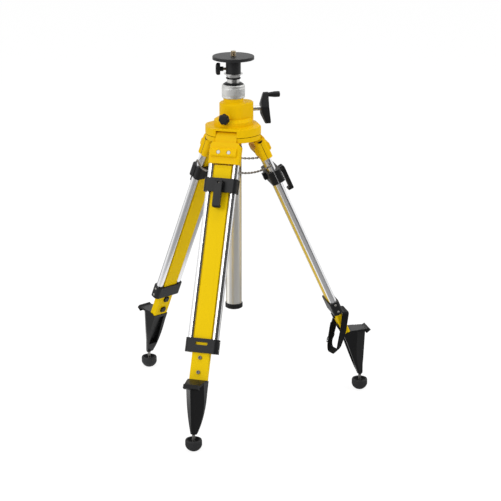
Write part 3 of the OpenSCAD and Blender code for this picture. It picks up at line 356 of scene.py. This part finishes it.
# Webbing: ribs across and threads along the band, on its own UV in metres
def wovenStrap(s):
    mat, tree, shader = newMaterial("wovenStrap")
    place = tree.nodes.new("ShaderNodeTexCoord").outputs["UV"]
    waves = []
    for direction, scale, waver in (("Y", s["ribs"], s["waver"]), ("X", s["threads"], 0.0)):
        wave = tree.nodes.new("ShaderNodeTexWave")
        wave.bands_direction = direction
        wave.inputs["Scale"].default_value = scale
        wave.inputs["Distortion"].default_value = waver
        tree.links.new(place, wave.inputs["Vector"])
        waves.append(wave.outputs["Fac"])
    weave = mathNode(tree, "MULTIPLY", *waves)
    ramp = tree.nodes.new("ShaderNodeValToRGB")
    ramp.color_ramp.elements[0].color = s["dark"]
    ramp.color_ramp.elements[1].color = s["light"]
    tree.links.new(weave, ramp.inputs["Fac"])
    tree.links.new(ramp.outputs["Color"], shader.inputs["Base Color"])
    for label, value in s["plain"].items():
        shader.inputs[label].default_value = value
    addRelief(tree, shader, weave, s["bump"], s["height"])
    return mat


# The Mapping turn that lays a leg's axis along local Z
def legTurnVector(leg):
    a = math.radians(legTurn[leg])
    out = math.sin(legSpread)
    axis = Vector((out * math.cos(a), out * math.sin(a), -math.cos(legSpread)))
    return tuple(axis.rotation_difference(Vector((0, 0, 1))).to_euler())


# Painted shade: darkens a leg's metal above the head's lower end, where only the joint between the halves
# shows it
def shadedAbove(mat, turn, limit):
    tree = mat.node_tree
    base = tree.nodes["Principled BSDF"].inputs["Base Color"]
    source = base.links[0].from_socket
    split = tree.nodes.new("ShaderNodeSeparateXYZ")
    tree.links.new(turnedPlace(tree, turn), split.inputs[0])
    below = mathNode(tree, "GREATER_THAN", split.outputs["Z"], limit)
    gain = mathNode(tree, "ADD", mathNode(tree, "MULTIPLY", below, 1 - paintedShadeTone), paintedShadeTone)
    tree.links.new(scaleColor(tree, source, gain), base)
    return mat


# A leg's tube metal, with painted shade inside the leg head
def legAlloy(leg):
    turn = legTurnVector(leg)
    headEnd = hingeRadius * math.sin(legSpread) - hingeZ * math.cos(legSpread) + headLength
    mat = makeFinish("tubeAlloy_" + leg, "alloy", (0.84, 0.84, 0.85), 0.24, Turn=turn)
    return shadedAbove(mat, turn, headEnd)


# The edge copies are lighter, partly for wear and partly as painted highlight on the rounded edges
paint = makeFinish("castingYellow", "powderCoat", (0.80, 0.487, 0.001), 0.42)
yellowEdgeWearHighlight = makeFinish("yellowCastingEdgeWearHighlight", "powderCoat", (0.86, 0.545, 0.006), 0.34)
# painted shade for the yoke's parting groove
paintShade = makeFinish("castingYellowShade", "powderCoat", (0.10, 0.055, 0.001), 0.55)
profilePaint = makeFinish("profileYellow", "smoothPaint", (0.79, 0.535, 0.001), 0.36)
plastic = makeFinish("mouldedBlack", "plastic", (0.011, 0.0112, 0.012), 0.42)
mouldedEdgeWearHighlight = makeFinish("blackMouldingEdgeWearHighlight", "plastic", (0.022, 0.0222, 0.023), 0.40)
blackCoat = makeFinish("footBlack", "blackCoat", (0.008, 0.008, 0.0085), 0.30)
coatEdgeWearHighlight = makeFinish("blackFootEdgeWearHighlight", "blackCoat", (0.016, 0.016, 0.0165), 0.24)
plateCoat = makeFinish("plateBlack", "blackCoat", (0.022, 0.022, 0.023), 0.42)
rubber = makeFinish("padRubber", "rubber", (0.020, 0.0205, 0.0215), 0.62)
# painted shade for the pad dishes and the ring under the extension head
rubberShade = makeFinish("padRubberShade", "hollowShadeRubber", (0.004, 0.004, 0.0045), 0.62)
tubeAlloy = {leg: legAlloy(leg) for leg in legNames}
columnAlloy = makeFinish("columnAlloy", "alloy", (0.95, 0.93, 0.875), 0.32)
collarAlloy = makeFinish("collarAlloy", "alloy", (0.70, 0.70, 0.685), 0.55)
turnedSteel = makeFinish("turnedSteel", "steel", (0.64, 0.635, 0.62), 0.34)
zinc = makeFinish("zincPlate", "steel", (0.36, 0.35, 0.33), 0.46)
darkSteel = makeFinish("darkSteel", "steel", (0.11, 0.10, 0.088), 0.42)
chainZinc = makeFinish("chainZinc", "steel", (0.20, 0.175, 0.145), 0.28)
brass = makeFinish("studBrass", "steel", (0.36, 0.29, 0.19), 0.26)
webbing = wovenStrap(weaveSet)
print("materials:", len(bpy.data.materials))


# CAD nodes that keep their solids

def dress(node, material):
    data = nodes[node].data
    data.materials.clear()
    data.materials.append(material)


plainDress = {
    "socket_screw": brass, "extension_head": turnedSteel, "extension_tube": turnedSteel,
    "twist_collar": collarAlloy, "grip_collet": plastic, "column_tube": columnAlloy, "lift_rack": zinc,
    "pinion_shaft": turnedSteel, "yoke_hardware": zinc,
}
for node, material in plainDress.items():
    dress(node, material)
for leg in legNames:
    dress(leg + "_leg_hardware", zinc)
    dress(leg + "_tubes", tubeAlloy[leg])
    dress(leg + "_inner_leg", profilePaint)
print("CAD nodes dressed")


# Castings and mouldings: the node's own solid with its edges rounded, and a lighter tone on those edges
# that is partly wear and partly painted highlight

roundSet = {
    "weld": 0.04 * mm,                   # points of a solid's mesh closer than this are one
    "flatWithin": math.radians(0.6),     # neighbours this close in slope become one face
    "sharpFrom": math.radians(28.0),     # edges sharper than this are rounded
    "steps": 2, "flatWeight": 60,
}


def softened(node, radius, material, edgeWearHighlight, slot):
    s = roundSet
    mesh = nodes[node].data.copy()
    mesh.name = node + "_rounded"
    bm = bmesh.new()
    bm.from_mesh(mesh)
    bmesh.ops.remove_doubles(bm, verts=bm.verts, dist=s["weld"])
    bmesh.ops.dissolve_limit(bm, angle_limit=s["flatWithin"], verts=bm.verts, edges=bm.edges)
    for face in bm.faces:
        face.smooth = True
        face.material_index = 0
    bm.to_mesh(mesh)
    bm.free()
    mesh.materials.clear()
    mesh.materials.append(material)
    mesh.materials.append(edgeWearHighlight)
    obj = bpy.data.objects.new(node + "_rounded", mesh)
    bpy.context.scene.collection.objects.link(obj)
    bevel = obj.modifiers.new("roundedEdges", "BEVEL")
    bevel.width = radius * mm
    bevel.segments = s["steps"]
    bevel.limit_method = "ANGLE"
    bevel.angle_limit = s["sharpFrom"]
    bevel.use_clamp_overlap = True
    bevel.harden_normals = True
    # the rounded edges take the lighter edge material: partly wear, partly painted highlight
    bevel.material = 1  # the edge material
    bevel.miter_outer = "MITER_ARC"
    flat = obj.modifiers.new("flatFaces", "WEIGHTED_NORMAL")
    flat.weight = s["flatWeight"]
    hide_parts(node)
    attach(obj, bodyOf[node])
    return obj


yellowLook = (paint, yellowEdgeWearHighlight, "yellow_casting")
plasticLook = (plastic, mouldedEdgeWearHighlight, "black_plastic")
# The edge material is the lighter one: partly wear, partly painted highlight
softSet = {  # edge radius in millimetres, material, edge material, slot in the record
    "gear_housing": (1.2, *yellowLook),
    "yoke_top": (1.0, *yellowLook),
    "yoke_bottom": (1.0, *yellowLook),
    "mount_plate": (0.6, plateCoat, plateCoat, "black_paint"),
    "crank_arm": (1.6, plastic, mouldedEdgeWearHighlight, "black_paint"),
    "crank_grip": (0.8, *plasticLook),
    "socket_knob": (0.8, *plasticLook),
    "lock_knob": (0.8, *plasticLook),
    "collar_cap": (0.6, *plasticLook),
    "column_cap": (0.8, *plasticLook),
}
legSoftSet = {  # the same for each leg's own nodes
    "_head_outer": (1.2, *yellowLook),
    "_head_inner": (1.2, *yellowLook),
    "_lower_sleeve": (0.7, *plasticLook),
    "_clamp_outer": (1.0, *plasticLook),
    "_clamp_inner": (1.0, *plasticLook),
    "_lever": (1.2, *plasticLook),
    "_foot": (1.2, blackCoat, coatEdgeWearHighlight, "black_paint"),
    "_rubber_pad": (1.0, rubber, rubber, "rubber"),
}
for leg in legNames:
    softSet.update({leg + part: choice for part, choice in legSoftSet.items()})
soft = {node: softened(node, *choice) for node, choice in softSet.items()}
print("rounded pieces:", len(softSet))


# Faces that take another material

def faceCentres(mesh):
    centres = np.zeros(len(mesh.polygons) * 3)
    mesh.polygons.foreach_get("center", centres)
    return centres.reshape(-1, 3)


def recolourFaces(obj, material, inside):
    mesh = obj.data
    mesh.materials.append(material)
    index = np.zeros(len(mesh.polygons), np.int32)
    mesh.polygons.foreach_get("material_index", index)
    index[inside] = len(mesh.materials) - 1
    mesh.polygons.foreach_set("material_index", index)


# Bolts: dark heads, ends as black as the nuts that they sit in, and a bright stud in the foot

boltSet = {
    "edge": 0.3,                  # radius of the edges in millimetres
    "blackBelow": -12.5 * mm,     # inward of the leg's middle plane
    "studFrom": 800.0 * mm,       # down the leg from its pin
}


# Each face's place in its leg: out from the leg's middle plane, and down along its axis from the pin
def facePlaces(mesh, leg):
    p = faceCentres(mesh) @ turnAbout("Z", legTurn[leg])
    x, z = p[:, 0] - hingeRadius, p[:, 2] - hingeZ
    c, s = math.cos(legSpread), math.sin(legSpread)
    return x * c + z * s, x * s - z * c


for leg in legNames:
    bolts = softened(leg + "_bolts", boltSet["edge"], darkSteel, darkSteel, "steel")
    out, down = facePlaces(bolts.data, leg)
    onStud = down > boltSet["studFrom"]
    recolourFaces(bolts, plastic, (out < boltSet["blackBelow"]) & ~onStud)
    recolourFaces(bolts, zinc, onStud)
print("bolts: 3 sets")


# Painted shade in hollows: the dish of each pad and the parting groove under the yoke's upper half take
# dark copies of their materials

hollowSet = {
    "dishRadius": 19.4 * mm, "dishFloor": 22.0 * mm,    # from the pad's middle and from its underside
    "grooveTop": 0.2 * mm, "grooveHeight": 2.05 * mm,   # down from the top of the yoke's lower half
}
for leg in legNames:
    pad = soft[leg + "_rubber_pad"]
    low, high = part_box(leg + "_rubber_pad")
    p = faceCentres(pad.data) - np.array([(low.x + high.x) / 2, (low.y + high.y) / 2, low.z])
    inDish = np.hypot(p[:, 0], p[:, 1]) < hollowSet["dishRadius"]
    recolourFaces(pad, rubberShade, inDish & (p[:, 2] > hollowSet["dishFloor"]))
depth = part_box("yoke_bottom")[1].z - faceCentres(soft["yoke_bottom"].data)[:, 2]
recolourFaces(soft["yoke_bottom"], paintShade,
           (depth > hollowSet["grooveTop"]) & (depth < hollowSet["grooveHeight"]))
print("hollows shaded")


# Knurled band of the twist collar, between its two grooves

knurlSet = {
    "ridges": 110, "height": 0.35 * mm, "sink": 0.15 * mm,
    "groove": 8.4 * mm,     # from each end of the collar to the band
    "fadeOver": 0.125,      # share of the band in which the ridges rise from its ends
    "inner": 0.985,         # radius of the hidden inner wall against the outer one
    "perRidge": 6, "rows": 9,
}


# A ring whose radius rises and falls once for each ridge, and fades to the collar at its two ends
def knurlBand(s, radius, z0, z1):
    u = np.linspace(0, 2 * math.pi, s["ridges"] * s["perRidge"], endpoint=False)
    v = np.linspace(0, 1, s["rows"])
    uu, vv = np.meshgrid(u, v, indexing="ij")
    fade = np.clip(np.minimum(vv, 1 - vv) / s["fadeOver"], 0, 1)
    r = radius - s["sink"] + fade * (s["sink"] + s["height"] * (0.5 + 0.5 * np.cos(s["ridges"] * uu)))
    outer = np.stack([r * np.cos(uu), r * np.sin(uu), z0 + (z1 - z0) * vv], -1)
    inner = outer * np.array([s["inner"], s["inner"], 1.0])
    rows = np.concatenate([outer, inner[:, ::-1]], 1)
    faces = gridFaces(len(u), 2 * s["rows"], True, True)
    return fixNormals(addMesh("collar_knurl", rows, faces, collarAlloy))


collarLow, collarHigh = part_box("twist_collar")
knurl = knurlBand(knurlSet, collarHigh.x,
                  collarLow.z + knurlSet["groove"], collarHigh.z - knurlSet["groove"])
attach(knurl, "collar")
print("collar knurled")


# Rubber ring under the cone of the extension head, where the head comes down on the collar; it widens the
# cone's foot, and its near-black rubber is painted shade of the cone's underside

bumperSet = {"section": 1.7 * mm, "sink": 0.2 * mm, "around": 96, "round": 20}


# A small circle carried round a large one
def ringMesh(name, s, radius, z, material):
    u, v = np.meshgrid(np.linspace(0, 2 * math.pi, s["around"], endpoint=False),
                       np.linspace(0, 2 * math.pi, s["round"], endpoint=False), indexing="ij")
    r = radius + s["section"] * np.cos(v)
    points = np.stack([r * np.cos(u), r * np.sin(u), z + s["section"] * np.sin(v)], -1)
    return fixNormals(addMesh(name, points, gridFaces(s["around"], s["round"], True, True), material))


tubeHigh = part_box("extension_tube")[1]
bumper = ringMesh("head_bumper", bumperSet, tubeHigh.x + bumperSet["section"] - bumperSet["sink"],
                  tubeHigh.z - bumperSet["section"], rubberShade)
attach(bumper, "extension")
print("bumper ring made")


# Spreader chains

chainSet = {
    "links": 19, "sag": 8.0 * mm,
    "wire": 2.2 * mm, "length": 9.5 * mm,  # thickness of the wire, and its centre line from end to end
    "bend": 2.25 * mm, "twist": 38.0,      # radius of a link's ends, and its twist between them in degrees
    "along": 40, "round": 10,
}
chainEnds = {  # turn of the chain's middle round the column, and the legs at its two ends
    "right_rear_chain": (60.0, "right", "rear"),
    "rear_front_chain": (180.0, "rear", "front"),
    "front_right_chain": (300.0, "front", "right"),
}


# One link: a wire carried round a long loop, whose two sides twist about the link's own axis
def linkPoints(s):
    straight = s["length"] - 2 * s["bend"]
    turn = math.pi * s["bend"]
    d = np.linspace(0, 2 * (straight + turn), s["along"], endpoint=False)
    onFirst = d < straight
    onTop = (d >= straight) & (d < straight + turn)
    onBack = (d >= straight + turn) & (d < 2 * straight + turn)
    a = np.where(onTop, (d - straight) / s["bend"], (d - 2 * straight - turn) / s["bend"] + math.pi)
    x = np.where(onFirst, s["bend"], np.where(onBack, -s["bend"], s["bend"] * np.cos(a)))
    y = np.where(onFirst, d - straight / 2,
                 np.where(onBack, straight / 2 - (d - straight - turn),
                          np.where(onTop, straight / 2, -straight / 2) + s["bend"] * np.sin(a)))
    centre = np.stack([x, y, np.zeros_like(x)], -1)
    ahead = pathAhead(centre)
    side = np.stack([ahead[:, 1], -ahead[:, 0], np.zeros(len(ahead))], -1)
    p = np.linspace(0, 2 * math.pi, s["round"], endpoint=False)
    ring = (side[:, None, :] * np.cos(p)[None, :, None]
            + np.array([0, 0, 1.0])[None, None, :] * np.sin(p)[None, :, None])
    points = centre[:, None, :] + ring * s["wire"] / 2
    w = math.radians(s["twist"]) * points[..., 1] / s["length"]
    return np.stack([points[..., 0] * np.cos(w) - points[..., 2] * np.sin(w), points[..., 1],
                     points[..., 0] * np.sin(w) + points[..., 2] * np.cos(w)], -1)


# Half of a chain, from its middle link to one leg: links set along a hanging parabola, each turned a
# quarter from the one before
def chainHalf(name, turn, side, s, span, radius, eyeZ):
    step = (span - s["length"]) / (s["links"] - 1)
    link = linkPoints(s)
    middle = (s["links"] - 1) // 2
    points = []
    for i in range(middle, s["links"]) if side > 0 else range(middle):
        place = (i - middle) * step
        drop = -s["sag"] * (1 - (2 * place / span) ** 2)
        slope = 8 * s["sag"] * place / span ** 2  # of the parabola at this link
        tilt = turnAbout("X", math.degrees(math.atan(slope)))
        spin = turnAbout("Y", 90 * ((i + 1) % 2))
        points.append(link @ (tilt @ spin).T + np.array([radius, place, eyeZ + drop]))
    quads = gridFaces(s["along"], s["round"], True, True)
    faces = np.concatenate([quads + s["along"] * s["round"] * i for i in range(len(points))])
    points = np.concatenate([p.reshape(-1, 3) for p in points]) @ turnAbout("Z", turn).T
    return fixNormals(addMesh(name, points, faces, chainZinc))


lowEye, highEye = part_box("rear_front_chain")       # this chain crosses the -X side square on
chainSpan = 2 * (highEye.y - chainSet["wire"] / 2)
chainRadius = -(lowEye.x + highEye.x) / 2
chainEyeZ = lowEye.z + chainSet["sag"] + chainSet["bend"] + chainSet["wire"] / 2
for chainName, (turn, first, last) in chainEnds.items():
    for side, leg in ((-1, first), (1, last)):
        half = chainHalf(chainName + "_" + leg, turn, side, chainSet, chainSpan, chainRadius, chainEyeZ)
        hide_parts(chainName)
        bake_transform(half)
print("chains: 6 halves")


# Instrument stud with its thread

studSet = {
    "major": 7.9375 * mm, "depth": 1.25 * mm, "pitch": 2.309 * mm,
    "steep": 1.35, "root": 0.2,     # rise of the thread's flanks, and how much of it the flat root takes
    "tipSlope": 1.2,                # radius lost for each length towards the tip
    "rows": 190, "round": 72,
}


# Radius of a threaded rod: a groove that climbs one pitch in each turn, cut back by a cone at the tip
def threadedRod(name, s, z0, z1, material):
    z = np.linspace(z0, z1, s["rows"])
    a = np.linspace(0, 2 * math.pi, s["round"], endpoint=False)
    zz, aa = np.meshgrid(z, a, indexing="ij")
    phase = (zz / s["pitch"] - aa / (2 * math.pi)) % 1.0
    groove = np.clip(s["steep"] * np.abs(2 * phase - 1) - s["root"], 0, 1)
    r = s["major"] - s["depth"] * (1 - groove)
    r = np.minimum(r, s["major"] - s["depth"] + np.clip(z1 - zz, 0, 1) * s["tipSlope"])
    wall = np.stack([r * np.cos(aa), r * np.sin(aa), zz], -1)
    faces = [f[::-1] for f in tubeFaces(s["rows"], s["round"])]  # wound to face outwards
    return fixNormals(addMesh(name, wall, faces, material))


studLow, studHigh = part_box("instrument_stud")
stud = threadedRod("instrument_thread", studSet, studLow.z, studHigh.z, brass)
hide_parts("instrument_stud")
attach(stud, "plate")
print("stud threaded")


# Carrying strap: a loop of webbing that hangs round the right leg, with a slider and its loose tail

strapSet = {
    "half": 35.5 * mm, "drop": 139.0 * mm,      # half width and height of the hanging loop
    "topBend": 8.0 * mm, "lowBend": 22.0 * mm,  # radii of its corners
    "width": 22.0 * mm, "thick": 2.0 * mm,
    "turn": 18.0, "lean": 12.0,                 # twist down the loop, and its lean, in degrees
    "roll": 32.0, "pinch": 0.28,                # how far its foot rolls over, in degrees, and closes up
    "rollFrom": 0.45, "rollOver": 0.5,          # shares of the drop: where that begins, and its length
    "along": 320, "cornerSteps": 24, "edgeSteps": 7, "flatSteps": 10,
}
tailSet = {
    "from": 103.0 * mm, "to": 56.0 * mm,        # drop of its two ends
    "lift": 1.06, "curl": 1.3,                  # off the strand, and more at the free end, in thicknesses
    "along": 40,
}
sliderSet = {
    "drop": 106.0 * mm, "half": (13.4 * mm, 7.5 * mm), "bar": 1.3 * mm,
    "square": 0.28,                             # power of the outline, squarer as it falls
    "deep": 1.25,                               # depth of a bar against its height
    "outlineOut": 1.1, "barOut": 1.25,          # off the strand, in thicknesses of the webbing
    "along": 96, "barAlong": 12, "round": 12,
}
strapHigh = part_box("carry_strap")[1]
strapLean = math.radians(strapSet["lean"])
strapTop = (strapHigh.x - strapSet["width"] / 2 - strapSet["thick"] / 2 * math.sin(strapLean),
            strapHigh.z - strapSet["thick"] / 2 * math.cos(strapLean))


# Outline of a rounded rectangle from the middle of its top: straight runs joined by quarter turns,
# evenly spaced
def loopOutline(s):
    q = np.linspace(0, math.pi / 2, s["cornerSteps"])
    a, b = s["topBend"], s["lowBend"]
    right = np.concatenate([
        [[0, 0]],
        np.stack([s["half"] - a + a * np.sin(q), a - a * np.cos(q)], -1),
        np.stack([s["half"] - b + b * np.cos(q), s["drop"] - b + b * np.sin(q)], -1),
        [[0, s["drop"]]]])
    left = right[::-1][1:] * np.array([-1, 1])
    path = np.concatenate([right, left])
    run = np.concatenate([[0], np.cumsum(np.linalg.norm(np.diff(path, axis=0), axis=1))])
    d = np.linspace(0, run[-1], s["along"], endpoint=False)
    points = np.stack([np.interp(d, run, path[:, 0]), np.interp(d, run, path[:, 1])], -1)
    return points, d, run[-1]


# Where a point of the hanging loop lies: aside across the loop, drop down it, across the band's width
def hangPoint(s, aside, drop, across):
    turn = np.radians(s["turn"]) * drop / s["drop"]
    ease = np.clip((drop / s["drop"] - s["rollFrom"]) / s["rollOver"], 0, 1)
    roll = np.radians(s["roll"]) * ease * ease * (3 - 2 * ease)
    aside = aside * (1 - s["pinch"] * ease)
    flat = across * np.cos(roll)
    return np.stack([
        strapTop[0] - drop * math.sin(strapLean) + aside * np.sin(turn) + flat * np.cos(turn),
        flat * np.sin(turn) - aside * np.cos(turn),
        strapTop[1] - drop * math.cos(strapLean) + across * np.sin(roll)], -1)


# Cross-section of the band: two flats joined by half rounds, as across and out from its middle
def bandSection(s):
    h = s["thick"] / 2
    w = s["width"] / 2 - h
    q = np.linspace(-math.pi / 2, math.pi / 2, s["edgeSteps"])
    flat = np.linspace(-w, w, s["flatSteps"] + 2)[1:-1]
    across = np.concatenate([w + h * np.cos(q), flat[::-1], -w - h * np.cos(q), flat])
    level = np.full(s["flatSteps"], h)
    out = np.concatenate([h * np.sin(q), level, -h * np.sin(q), -level])
    return across, out


# The band: its cross-section carried along the loop's outline
def makeStrap(s):
    path, d, total = loopOutline(s)
    ahead = pathAhead(path)
    normal = np.stack([ahead[:, 1], -ahead[:, 0]], -1)  # away from the middle of the loop
    across, out = bandSection(s)
    place = path[:, None, :] + normal[:, None, :] * out[None, :, None]
    wide = np.broadcast_to(across, place.shape[:2])
    points = hangPoint(s, place[..., 0], place[..., 1], wide)
    uv = np.stack([wide, np.broadcast_to(d[:, None], wide.shape)], -1).reshape(-1, 2)
    faces = gridFaces(len(d), len(out), True, True)
    print("strap: flat length", round(total, 4))
    return fixNormals(addMesh("carry_strap_band", points, faces, webbing, uv))


# The free end of the webbing, which lies on the far strand above the slider and curls away from it
def makeTail(s, strap):
    across, out = bandSection(strap)
    d = np.linspace(s["from"], s["to"], s["along"])
    lift = strap["thick"] * (s["lift"] + s["curl"] * np.linspace(0, 1, s["along"]) ** 2)
    aside = -(strap["half"] + lift[:, None] + out[None, :])
    wide = np.broadcast_to(across, aside.shape)
    drop = np.broadcast_to(d[:, None], aside.shape)
    points = hangPoint(strap, aside, drop, wide)
    uv = np.stack([wide, drop], -1).reshape(-1, 2)
    return fixNormals(addMesh("carry_strap_tail", points, tubeFaces(len(d), len(out)), webbing, uv))


# The slider: a round bar carried along a rounded rectangle, and a straight bar across its middle
def makeSlider(s, strap):
    w, h = s["half"]
    a = np.linspace(0, 2 * math.pi, s["along"], endpoint=False)
    x = w * np.sign(np.cos(a)) * np.abs(np.cos(a)) ** s["square"]
    y = h * np.sign(np.sin(a)) * np.abs(np.sin(a)) ** s["square"]
    ahead = pathAhead(np.stack([x, y], -1))
    p = np.linspace(0, 2 * math.pi, s["round"], endpoint=False)
    up, away = s["bar"] * np.cos(p), s["deep"] * s["bar"] * np.sin(p)
    wide = x[:, None] + ahead[:, 1:2] * up
    drop = s["drop"] + y[:, None] - ahead[:, 0:1] * up
    out = strap["half"] + strap["thick"] * s["outlineOut"] + np.broadcast_to(away, wide.shape)
    outline = addMesh("carry_strap_slider", hangPoint(strap, -out, drop, wide),
                      gridFaces(s["along"], s["round"], True, True), plastic)
    wide = np.linspace(-w, w, s["barAlong"])[:, None] + np.zeros(s["round"])
    drop = s["drop"] + np.broadcast_to(up, wide.shape)
    out = strap["half"] + strap["thick"] * s["barOut"] + np.broadcast_to(away, wide.shape)
    middleBar = addMesh("carry_strap_slider_bar", hangPoint(strap, -out, drop, wide),
                        tubeFaces(s["barAlong"], s["round"]), plastic)
    return fixNormals(outline), fixNormals(middleBar)


strapPieces = [makeStrap(strapSet), makeTail(tailSet, strapSet), *makeSlider(sliderSet, strapSet)]
for piece, slot in zip(strapPieces, ("webbing", "webbing", "black_plastic", "black_plastic")):
    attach(piece, "right_lower")
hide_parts("carry_strap")
print("strap: 4 pieces")


# Floor, light and background

stageSet = {
    "floorHalf": 30.0, "floorGlow": 0.87, "floorMatt": 0.2,  # glow and tone that the eye and mirrors see
    "floorBounce": 0.88,                                     # tone that lights the object from below
    "worldDiffuse": 0.60,
    "lampAim": (0.0, 0.0, -0.5),
    "lamps": [  # name, place, size, watts
        ("leftBox", (-3.4, -2.2, 1.8), 2.2, 70.0),
        ("rightBox", (3.2, -1.6, 1.9), 2.0, 50.0),
        ("topBox", (0.0, 0.0, 2.8), 2.4, 30.0),
    ],
    "cardSteps": 49, "cardEnds": (0.14, 0.86),  # shares of a card between which it is fully dark
    # dark cards that only mirrors see: name, inner and outer radius, low and high, turn from and to, tone
    "cards": [
        ("wallCard", (3.0, 3.0), (groundZ + 0.01, 2.2), (-138.0, -22.0), 0.04),
        ("floorCard", (0.01, 3.0), (groundZ + 0.002, groundZ + 0.002), (-200.0, 60.0), 0.38),
        ("backCard", (0.7, 4.5), (groundZ + 0.003, groundZ + 0.003), (2.0, 152.0), 0.45),
    ],
}


def seenOrMirrored(tree):  # 1 for rays that the eye, a mirror or glass sends
    path = tree.nodes.new("ShaderNodeLightPath")
    straight = mathNode(tree, "MAXIMUM", path.outputs["Is Camera Ray"], path.outputs["Is Glossy Ray"])
    return mathNode(tree, "MAXIMUM", straight, path.outputs["Is Transmission Ray"])


# A material that mixes two shaders, with its tree and the mix that they go into
def mixedMaterial(name):
    mat, tree, _ = newMaterial(name)
    tree.nodes.clear()
    out = tree.nodes.new("ShaderNodeOutputMaterial")
    pick = tree.nodes.new("ShaderNodeMixShader")
    tree.links.new(pick.outputs[0], out.inputs["Surface"])
    return mat, tree, pick


def mattShader(tree, tone):
    matt = tree.nodes.new("ShaderNodeBsdfDiffuse")
    matt.inputs["Color"].default_value = (tone, tone, tone, 1)
    return matt.outputs[0]


def glowShader(tree, strength):
    glow = tree.nodes.new("ShaderNodeEmission")
    glow.inputs["Strength"].default_value = strength
    return glow.outputs[0]


def makeFloor(s):
    mat, tree, pick = mixedMaterial("floorWhite")
    both = tree.nodes.new("ShaderNodeAddShader")
    tree.links.new(mattShader(tree, s["floorMatt"]), both.inputs[0])
    tree.links.new(glowShader(tree, s["floorGlow"]), both.inputs[1])
    tree.links.new(seenOrMirrored(tree), pick.inputs[0])
    tree.links.new(mattShader(tree, s["floorBounce"]), pick.inputs[1])
    tree.links.new(both.outputs[0], pick.inputs[2])
    h = s["floorHalf"]
    corners = [(-h, -h, groundZ), (h, -h, groundZ), (h, h, groundZ), (-h, h, groundZ)]
    floor = addMesh("studioFloor", corners, [(0, 1, 2, 3)], mat)


def makeWorld(s):
    world = bpy.data.worlds.new("studioWhite")
    bpy.context.scene.world = world
    world.use_nodes = True
    tree = world.node_tree
    back = tree.nodes["Background"]
    back.inputs["Color"].default_value = (1, 1, 1, 1)
    gain = mathNode(tree, "MULTIPLY", seenOrMirrored(tree), 1.0 - s["worldDiffuse"])
    tree.links.new(mathNode(tree, "ADD", gain, s["worldDiffuse"]), back.inputs["Strength"])


def makeLamps(s):
    for name, place, size, watts in s["lamps"]:
        data = bpy.data.lights.new(name, "AREA")
        data.shape = "SQUARE"
        data.size = size
        data.energy = watts
        lamp = bpy.data.objects.new(name, data)
        lamp.location = place
        lamp.rotation_mode = "QUATERNION"
        lamp.rotation_quaternion = (Vector(s["lampAim"]) - Vector(place)).to_track_quat("-Z", "Y")
        bpy.context.scene.collection.objects.link(lamp)


# Clear at the two ends of a card and dark between them
def cardMaterial(name, ends, tone):
    mat, tree, pick = mixedMaterial(name)
    split = tree.nodes.new("ShaderNodeSeparateXYZ")
    tree.links.new(tree.nodes.new("ShaderNodeTexCoord").outputs["UV"], split.inputs[0])
    ramp = tree.nodes.new("ShaderNodeValToRGB")
    ramp.color_ramp.interpolation = "EASE"
    ramp.color_ramp.elements[0].color = (0, 0, 0, 1)
    ramp.color_ramp.elements[1].color = (0, 0, 0, 1)
    for place in ends:
        ramp.color_ramp.elements.new(place).color = (1, 1, 1, 1)
    tree.links.new(split.outputs["X"], ramp.inputs["Fac"])
    tree.links.new(ramp.outputs["Color"], pick.inputs[0])
    tree.links.new(tree.nodes.new("ShaderNodeBsdfTransparent").outputs[0], pick.inputs[1])
    tree.links.new(glowShader(tree, tone), pick.inputs[2])
    return mat


# Each card is a band of a ring round the tripod: turn along it, radius and height across it
def makeCards(s):
    u, v = np.meshgrid(np.linspace(0, 1, s["cardSteps"]), np.linspace(0, 1, 2), indexing="ij")
    uv = np.stack([u, v], -1).reshape(-1, 2)
    for name, (inner, outer), (low, high), (first, last), tone in s["cards"]:
        a = np.radians(first + (last - first) * u)
        r = inner + (outer - inner) * v
        points = np.stack([r * np.cos(a), r * np.sin(a), low + (high - low) * v], -1)
        mat = cardMaterial(name, s["cardEnds"], tone)
        card = addMesh(name, points, gridFaces(s["cardSteps"], 2), mat, uv)
        for sight in ("camera", "diffuse", "transmission", "volume_scatter", "shadow"):
            setattr(card, "visible_" + sight, False)


makeFloor(stageSet)
makeWorld(stageSet)
makeLamps(stageSet)
makeCards(stageSet)
bpy.context.scene.view_settings.view_transform = "Standard"
print("stage set")
